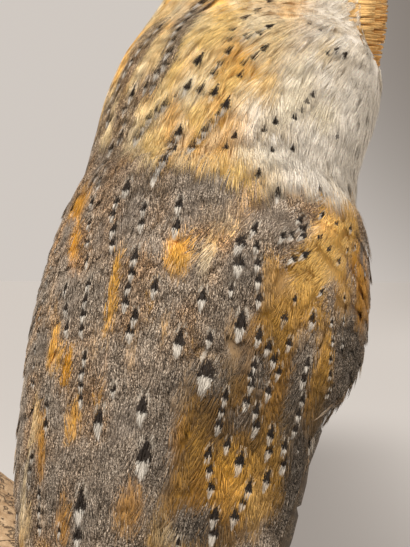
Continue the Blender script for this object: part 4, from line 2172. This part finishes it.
def lower_bill():
    route = []
    radii = []
    for i in range(14):
        t = i / 13
        route.append(on_head(0, BILL_FORWARD - 2.0 + 8.0 * t, BILL_UP - 11.0 - 3.4 * t))
        radii.append(smooth_value(((1.0, 0.7), (0.75, 2.0), (0.4, 2.7), (0.0, 2.8)), t))
    return tube("bill_lower_horn", route, radii, 20)


def face_parts():
    glass = glass_material()
    for name, side in (("eye_left", 1), ("eye_right", -1)):
        eye = ball(name + "_glass", on_head(side * EYE_SIDE, EYE_FORWARD, EYE_UP), EYE_RADIUS, 0.25)
        dress(eye, glass, "eye_glass", name)
    lid_piece()
    horn = horn_material("bill_horn", (0.50, 0.36, 0.27, 1.0), (0.70, 0.58, 0.46, 1.0), 0.35)
    dress(upper_bill(), horn, "bill_horn", "bill_upper")
    dress(lower_bill(), horn, "bill_horn", "bill_lower")


# Feet and claws

def over_branch(x, degrees, out):
    a = math.radians(degrees)
    r = BRANCH_RADIUS + out
    return Vector((x, -r * math.sin(a), PERCH_TOP - BRANCH_RADIUS + r * math.cos(a)))


def foot(side, suffix, look):
    x = side * LEG_SIDE
    ankle = [Vector((x, 0.0, PERCH_TOP + h)) for h in (2.0, 4.5, 7.0, 9.5, ANKLE_HEIGHT)]
    forms = [tube("ankle", ankle, (5.6, 6.6, 6.4, 5.8, 5.2), 24)]
    for toe, spread in TOE_SPREAD.items():
        reach = TOE_REACH[toe]
        route = []
        radii = []
        for i in range(45):
            t = i / 44
            swell = 0.09 * math.sin(t * math.pi * 6.0) ** 2
            scute = 0.035 * (1.0 if i % 3 == 0 else 0.0)
            route.append(over_branch(x + side * spread * t, reach * t, TOE_RADIUS + 0.1))
            radii.append(TOE_RADIUS * (0.97 - 0.22 * t + swell - 0.05 + scute))
        forms.append(tube("toe", route, radii, 18))
    made = fuse("foot_" + suffix + "_skin", forms, FOOT_VOXEL, FOOT_ROUNDS)
    return dress(made, look, "toe_skin", "foot_" + suffix)


def claw_set(side, suffix, look):
    x = side * LEG_SIDE
    for number, (toe, spread) in enumerate(TOE_SPREAD.items(), 1):
        reach = TOE_REACH[toe]
        way = 1 if reach > 0 else -1
        route = []
        radii = []
        for i in range(22):
            t = i / 21
            swing = reach + way * (0.8 + (CLAW_ARC + 2.8) * t)
            out = TOE_RADIUS + 0.3 + 2.2 * math.sin(math.pi * t) - 0.6 * t
            route.append(over_branch(x + side * spread, swing, out))
            radii.append(CLAW_RADIUS * (1 - t) ** 0.8 * 0.95 + 0.12)
        claw = tube("talon_%s_%d" % (suffix, number), route, radii, 16)
        dress(claw, look, "claw_horn", "claw_%s_%d" % (suffix, number))


def toe_material():
    m = Nodes("toe_skin")
    place = m.place()
    scales = m.tree.nodes.new("ShaderNodeTexVoronoi")
    m.put(scales.inputs["Vector"], place)
    scales.inputs["Scale"].default_value = 620.0
    grain = m.noise(place, 500.0, 3.0, 0.6)
    plates = m.span(scales.outputs["Distance"], 0.1, 0.55)
    skin_color = m.mix(grain, (0.24, 0.18, 0.13, 1.0), (0.46, 0.37, 0.28, 1.0))
    m.color(m.mix(plates, skin_color, (0.14, 0.10, 0.075, 1.0)))
    m.set(Roughness=0.62)
    m.bump(m.math("SUBTRACT", 1.0, plates), 0.6, 0.0005)
    return m.material


def feet():
    toe_look = toe_material()
    talon_look = horn_material("talon_horn", (0.014, 0.011, 0.010, 1.0), (0.07, 0.055, 0.045, 1.0), 0.28)
    for side, suffix in ((1, "left"), (-1, "right")):
        foot(side, suffix, toe_look)
        claw_set(side, suffix, talon_look)


# The stand

PERCH_SIDES = 64

# Radius and height of the base from its foot to its top
PLINTH_PROFILE = (
    (BASE_RADIUS - 1.5, 0.0), (BASE_RADIUS, 1.5), (BASE_RADIUS, 7.5), (BASE_RADIUS - 1.6, 8.6),
    (BASE_RADIUS - 2.2, 9.6), (BASE_RADIUS - 1.2, 10.8), (BASE_RADIUS - 1.4, 13.5),
    (BASE_RADIUS - 3.2, 16.6), (BASE_RADIUS - 6.5, 18.6), (BASE_RADIUS - 11.0, 19.4), (60.0, 19.8),
    (34.0, 20.0),
)


def branch_middle(t):
    x = BRANCH_RIGHT_END + (BRANCH_FLAT_END + KNOB_REACH - BRANCH_RIGHT_END) * t
    past = max(0.0, (x - BRANCH_FLAT_END) / KNOB_REACH)
    return x, PERCH_TOP - BRANCH_RADIUS + KNOB_RISE * past**1.6


def post_form():
    """The upright post, a little wavy and thinner upward."""
    rings = []
    for i in range(30):
        t = i / 29
        height = BASE_HEIGHT + 0.3 + (PERCH_TOP - BRANCH_RADIUS - BASE_HEIGHT) * t
        ring = []
        for b in turns(PERCH_SIDES):
            wave = 1.0 + 0.05 * math.sin(3 * b + 2.0 * t) + 0.03 * math.sin(5 * b - 3.0 * t)
            radius = POST_RADIUS * wave * (1.12 - 0.22 * t)
            ring.append(Vector((radius * math.cos(b) + 4.0 * t, radius * math.sin(b), height)))
        rings.append(ring)
    return loft("post", rings)


def branch_form():
    """The level branch with its rising knob, uneven underneath."""
    rings = []
    for i in range(70):
        t = i / 69
        x, middle = branch_middle(t)
        end = 1.0 - 0.3 * max(0.0, (t - 0.85) / 0.15) ** 2
        ring = []
        for b in turns(PERCH_SIDES):
            low = max(0.0, -math.sin(b))
            wave = 1.0 + low * (0.05 * math.sin(4 * b + 5.0 * t) + 0.04 * math.sin(9.0 * t))
            radius = BRANCH_RADIUS * wave * end
            ring.append(Vector((x, radius * math.cos(b), middle + radius * math.sin(b))))
        rings.append(ring)
    return loft("branch", rings)


def bark_at(p, upward):
    """Relief of the bark at a point, and its look: share of bare wood, of post and of sawn end."""
    past = max(0.0, (p.x - BRANCH_FLAT_END - 8.0) / KNOB_REACH)
    sawn = p.x < BRANCH_RIGHT_END + 1.2
    on_branch = p.z > PERCH_TOP - 48.0
    lines = Vector((p.x * 0.35, p.y, p.z)) if on_branch else Vector((p.x, p.y, p.z * 0.3))
    ridges = 1.0 - abs(noise.noise(lines / 4.5)) * 2.0
    lumps = noise.noise(p / 16.0)
    flakes = noise.noise(p / 2.2)
    remnant = max(0.0, noise.noise(p / 8.0 + Vector((5.0, 3.0, 1.0))))
    bare = 1.6 * past + 0.9 * lumps - 1.3 * remnant
    if past > 0.1:
        bare += (upward - 0.1) * 0.9
    bare = min(1.0, max(0.0, bare))
    if sawn or p.x > BRANCH_FLAT_END + KNOB_REACH - 7.0:
        bare = 1.0
    depth = (0.8 * ridges + 0.9 * lumps + 0.45 * flakes) * (1.0 - 0.6 * bare) - 0.7
    if sawn:
        depth = -0.3
    if abs(p.x) < 46.0 and p.z > PERCH_TOP - 30.0:
        depth = min(depth, -0.05) * 0.5
    on_post = float(ramp(PERCH_TOP - 46.0, PERCH_TOP - 54.0, p.z))
    return max(min(depth, 0.9), -2.2), (bare, on_post, float(sawn), 1.0)


def perch_piece():
    """Post and branch with bark, which is smoother under the toes."""
    made = fuse("perch_bark", [post_form(), branch_form()], PERCH_VOXEL, PERCH_ROUNDS)
    mesh = made.data
    normals = vectors(mesh.vertices, "normal")
    places = vectors(mesh.vertices, "co")
    looks = np.zeros((len(places), 4))
    for i in range(len(places)):
        depth, looks[i] = bark_at(Vector(places[i]) / MM, normals[i, 2])
        places[i] += normals[i] * depth * MM
    mesh.vertices.foreach_set("co", places.ravel())
    mesh.update()
    add_colors(mesh, "bare", looks)
    return dress(made, driftwood_material(), "branch_wood", "perch")


def grain_lines(m, place, upright, along_grain, across_grain, roughness):
    """Noise drawn out along the branch, and upward on the post."""
    level = m.noise(m.stretched(place, along_grain, across_grain, across_grain), 1.0, 4.0, roughness)
    rising = m.noise(m.stretched(place, across_grain, across_grain, along_grain), 1.0, 4.0, roughness)
    return m.mix(upright, level, rising)


def bark_color(m, place, furrows, crust):
    """Brown bark, dark in its furrows, with lichen."""
    bark = m.mix(m.span(crust, 0.35, 0.68), (0.06, 0.036, 0.022, 1.0), (0.33, 0.215, 0.125, 1.0))
    bark = m.mix(m.span(furrows, 0.40, 0.60, 0.65, 0.0), bark, (0.028, 0.016, 0.010, 1.0))
    lichen = m.times(m.span(m.noise(place, 55.0, 3.0, 0.6), 0.56, 0.66), m.span(crust, 0.45, 0.62))
    return m.mix(m.times(lichen, 0.7), bark, (0.40, 0.37, 0.27, 1.0))


def wood_color(m, place, fibres, crack):
    """Bare wood with stains and dark cracks."""
    wood = m.mix(m.span(fibres, 0.3, 0.7), (0.36, 0.21, 0.10, 1.0), (0.70, 0.50, 0.30, 1.0))
    stain = m.span(m.noise(place, 34.0, 3.0, 0.6), 0.48, 0.7, 0.0, 0.5)
    wood = m.mix(stain, wood, (0.24, 0.13, 0.065, 1.0))
    return m.mix(m.times(crack, 0.85), wood, (0.05, 0.028, 0.016, 1.0))


def sawn_color(m, place):
    """Growth rings and splits of the sawn end."""
    centred = m.tree.nodes.new("ShaderNodeMapping")
    m.put(centred.inputs["Vector"], place)
    centred.inputs["Location"].default_value = (0.0, -0.002, -(PERCH_TOP - BRANCH_RADIUS - 1.5) * MM)
    rings = m.wave(centred.outputs["Vector"], "RINGS", "X", 170.0, 3.0, 2.0)
    end = m.mix(rings, (0.38, 0.23, 0.12, 1.0), (0.66, 0.48, 0.30, 1.0))
    turned = m.normalized(m.stretched(centred.outputs["Vector"], 0.0, 1.0, 1.0))
    split = m.span(m.noise(turned, 3.4, 4.0, 0.6), 0.58, 0.62, 0.0, 0.8)
    return m.mix(split, end, (0.07, 0.04, 0.022, 1.0))


def driftwood_material():
    """Furrowed bark with lichen, bare cracked wood and a sawn end with growth rings."""
    m = Nodes("driftwood")
    place = m.place()
    bare, upright, sawn = m.parts("ShaderNodeSeparateColor", m.attribute("bare").outputs["Color"])
    fibres = grain_lines(m, place, upright, 60.0, 420.0, 0.65)
    furrows = grain_lines(m, place, upright, 38.0, 190.0, 0.6)
    crack = m.span(m.math("ABSOLUTE", m.minus(furrows, 0.5)), 0.0, 0.035, 1.0, 0.0)
    crust = m.noise(place, 260.0, 4.0, 0.7)
    peeled = m.span(m.plus(bare, m.times(m.minus(crust, 0.5), 0.9)), 0.35, 0.6)
    plain = m.mix(peeled, bark_color(m, place, furrows, crust), wood_color(m, place, fibres, crack))
    m.color(m.mix(sawn, plain, sawn_color(m, place)))
    m.set(Roughness=0.85)
    height = m.plus(m.plus(crust, m.times(furrows, 2.0)), fibres)
    m.bump(m.minus(height, m.times(crack, 0.8)), 0.8, 0.0012)
    return m.material


def plinth_material():
    """Varnished brown wood with its grain across the base."""
    m = Nodes("turned_wood")
    place = m.place()
    bent = m.noise(m.stretched(place, 6.0, 22.0, 22.0), 1.0, 3.0, 0.5)
    wave = m.wave(m.stretched(place, 0.4, 1.0, 1.0), "BANDS", "Y", 42.0, 5.0, 3.0)
    fine = m.noise(m.stretched(place, 90.0, 1400.0, 1400.0), 1.0, 3.0, 0.6)
    grain = m.plus(m.times(wave, 0.55), m.times(bent, 0.45))
    wood = m.mix(grain, (0.21, 0.095, 0.038, 1.0), (0.42, 0.225, 0.10, 1.0))
    m.color(m.mix(m.span(fine, 0.35, 0.7, 0.0, 0.35), wood, (0.13, 0.055, 0.022, 1.0)))
    m.set(Roughness=0.38, Coat_Weight=0.3, Coat_Roughness=0.18)
    m.bump(fine, 0.15, 0.0002)
    return m.material


def base_piece():
    """A turned round plinth with a rounded edge, a groove and a shallow dome."""
    rings = [[Vector((radius * math.cos(b), radius * math.sin(b), height)) for b in turns(160)]
             for radius, height in PLINTH_PROFILE]
    return dress(loft("base_plinth", rings), plinth_material(), "base_wood", "base")


feather_piece("wing_vanes_left", wing_vanes(1), "feathers_wing")
feather_piece("wing_vanes_right", wing_vanes(-1), "feathers_wing")
feather_piece("tail_vanes", tail_vanes(), "feathers_tail", "tail")
ruff_piece()
face_parts()
feet()
perch_piece()
base_piece()


# Room, light and camera

CORNER_FALL = (0.915, 0.995)
DARK_CORNER = (VIEW * math.cos(math.radians(22.0)) + RIGHT * math.sin(math.radians(22.0))
               + Vector((0, 0, math.tan(math.radians(16.0))))).normalized()


def smooth_span(tree, value, low, high):
    made = tree.nodes.new("ShaderNodeMapRange")
    made.interpolation_type = "SMOOTHSTEP"
    made.inputs["From Min"].default_value = low
    made.inputs["From Max"].default_value = high
    tree.links.new(value, made.inputs["Value"])
    return made.outputs["Result"]


def dot(tree, vector, way):
    made = tree.nodes.new("ShaderNodeVectorMath")
    made.operation = "DOT_PRODUCT"
    tree.links.new(vector, made.inputs[0])
    made.inputs[1].default_value = way
    return made.outputs["Value"]


def product(tree, *values):
    result = values[0]
    for value in values[1:]:
        made = tree.nodes.new("ShaderNodeMath")
        made.operation = "MULTIPLY"
        tree.links.new(result, made.inputs[0])
        tree.links.new(value, made.inputs[1])
        result = made.outputs[0]
    return result


def two_tones(tree, factor, pale, dark):
    mix = tree.nodes.new("ShaderNodeMix")
    mix.data_type = "RGBA"
    tree.links.new(factor, mix.inputs["Factor"])
    mix.inputs[6].default_value = pale + (1.0,)
    mix.inputs[7].default_value = dark + (1.0,)
    return mix


def make_floor():
    """Pale paper under the mount, shaded near it and darker in the far corner."""
    reach = FLOOR_REACH
    corners = [(-reach, -reach, 0), (reach, -reach, 0), (reach, reach, 0), (-reach, reach, 0)]
    floor = mesh_object("floor", corners, [(0, 1, 2, 3)])
    m = Nodes("floor_paper")
    tree = m.tree
    place = m.place()
    back = dot(tree, place, VIEW)
    side = dot(tree, place, RIGHT)
    corner = product(tree, smooth_span(tree, dot(tree, m.normalized(place), DARK_CORNER), *CORNER_FALL),
                     smooth_span(tree, m.math("DIVIDE", 1.0, back), 0.34, 0.0))
    shade = product(tree, smooth_span(tree, back, 1.55, 0.95), smooth_span(tree, back, 0.25, 0.5),
                    smooth_span(tree, side, 0.42, 0.06), smooth_span(tree, side, -0.25, 0.02))
    tones = two_tones(tree, corner, FLOOR_PALE, FLOOR_DARK)
    shaded = two_tones(tree, shade, FLOOR_PALE, FLOOR_SHADE)
    tree.links.new(tones.outputs[2], shaded.inputs[6])
    m.color(shaded.outputs[2])
    m.set(Roughness=0.95, Specular_IOR_Level=0.0)
    floor.data.materials.append(m.material)


def make_room():
    """Soft light from all round, with the photograph's darker corner."""
    world = bpy.data.worlds.new("soft_room")
    world.use_nodes = True
    tree = world.node_tree
    direction = tree.nodes.new("ShaderNodeTexCoord").outputs["Generated"]
    corner = smooth_span(tree, dot(tree, direction, DARK_CORNER), *CORNER_FALL)
    tones = two_tones(tree, corner, ROOM_PALE, ROOM_DARK)
    tree.links.new(tones.outputs[2], tree.nodes["Background"].inputs["Color"])
    bpy.context.scene.world = world


def make_light(name, place, size, power, target):
    data = bpy.data.lights.new(name, "AREA")
    data.size = size
    data.energy = power
    data.color = LAMP_COLOR
    lamp = linked(name, data)
    lamp.location = Vector(place) * MM
    aim = Vector(target) * MM - lamp.location
    lamp.rotation_euler = aim.to_track_quat("-Z", "Y").to_euler()


def make_camera():
    data = bpy.data.cameras.new("photo_camera")
    data.lens = LENS
    data.sensor_width = SENSOR
    data.clip_start = 0.01
    camera = linked("photo_camera", data)
    camera.location = EYE_POINT * MM
    camera.rotation_euler = VIEW.to_track_quat("-Z", "Y").to_euler()
    bpy.context.scene.camera = camera


def make_sun(strength, toward):
    data = bpy.data.lights.new("sky_key", "SUN")
    data.energy = strength
    data.angle = math.radians(30.0)
    data.color = SUN_COLOR
    lamp = linked("sky_key", data)
    lamp.rotation_euler = Vector(toward).to_track_quat("-Z", "Y").to_euler()


middle = Vector((0, 0, AXIS_UP + 90.0))
key_place = middle - VIEW * 330 - RIGHT * 200 + Vector((0, 0, 430))
fill_place = HEAD_MIDDLE + HEAD_FORWARD * 480 + Vector((0, 0, 220))
make_floor()
make_room()
make_sun(SUN_POWER, VIEW * 0.8 + RIGHT * 0.5 - Vector((0, 0, 1.1)))
make_light("key", key_place, KEY_SIZE, KEY_POWER, middle + Vector((0, 0, 80)))
make_light("fill", fill_place, FILL_SIZE, FILL_POWER, HEAD_MIDDLE)
make_camera()
bpy.context.scene.view_settings.view_transform = "Standard"
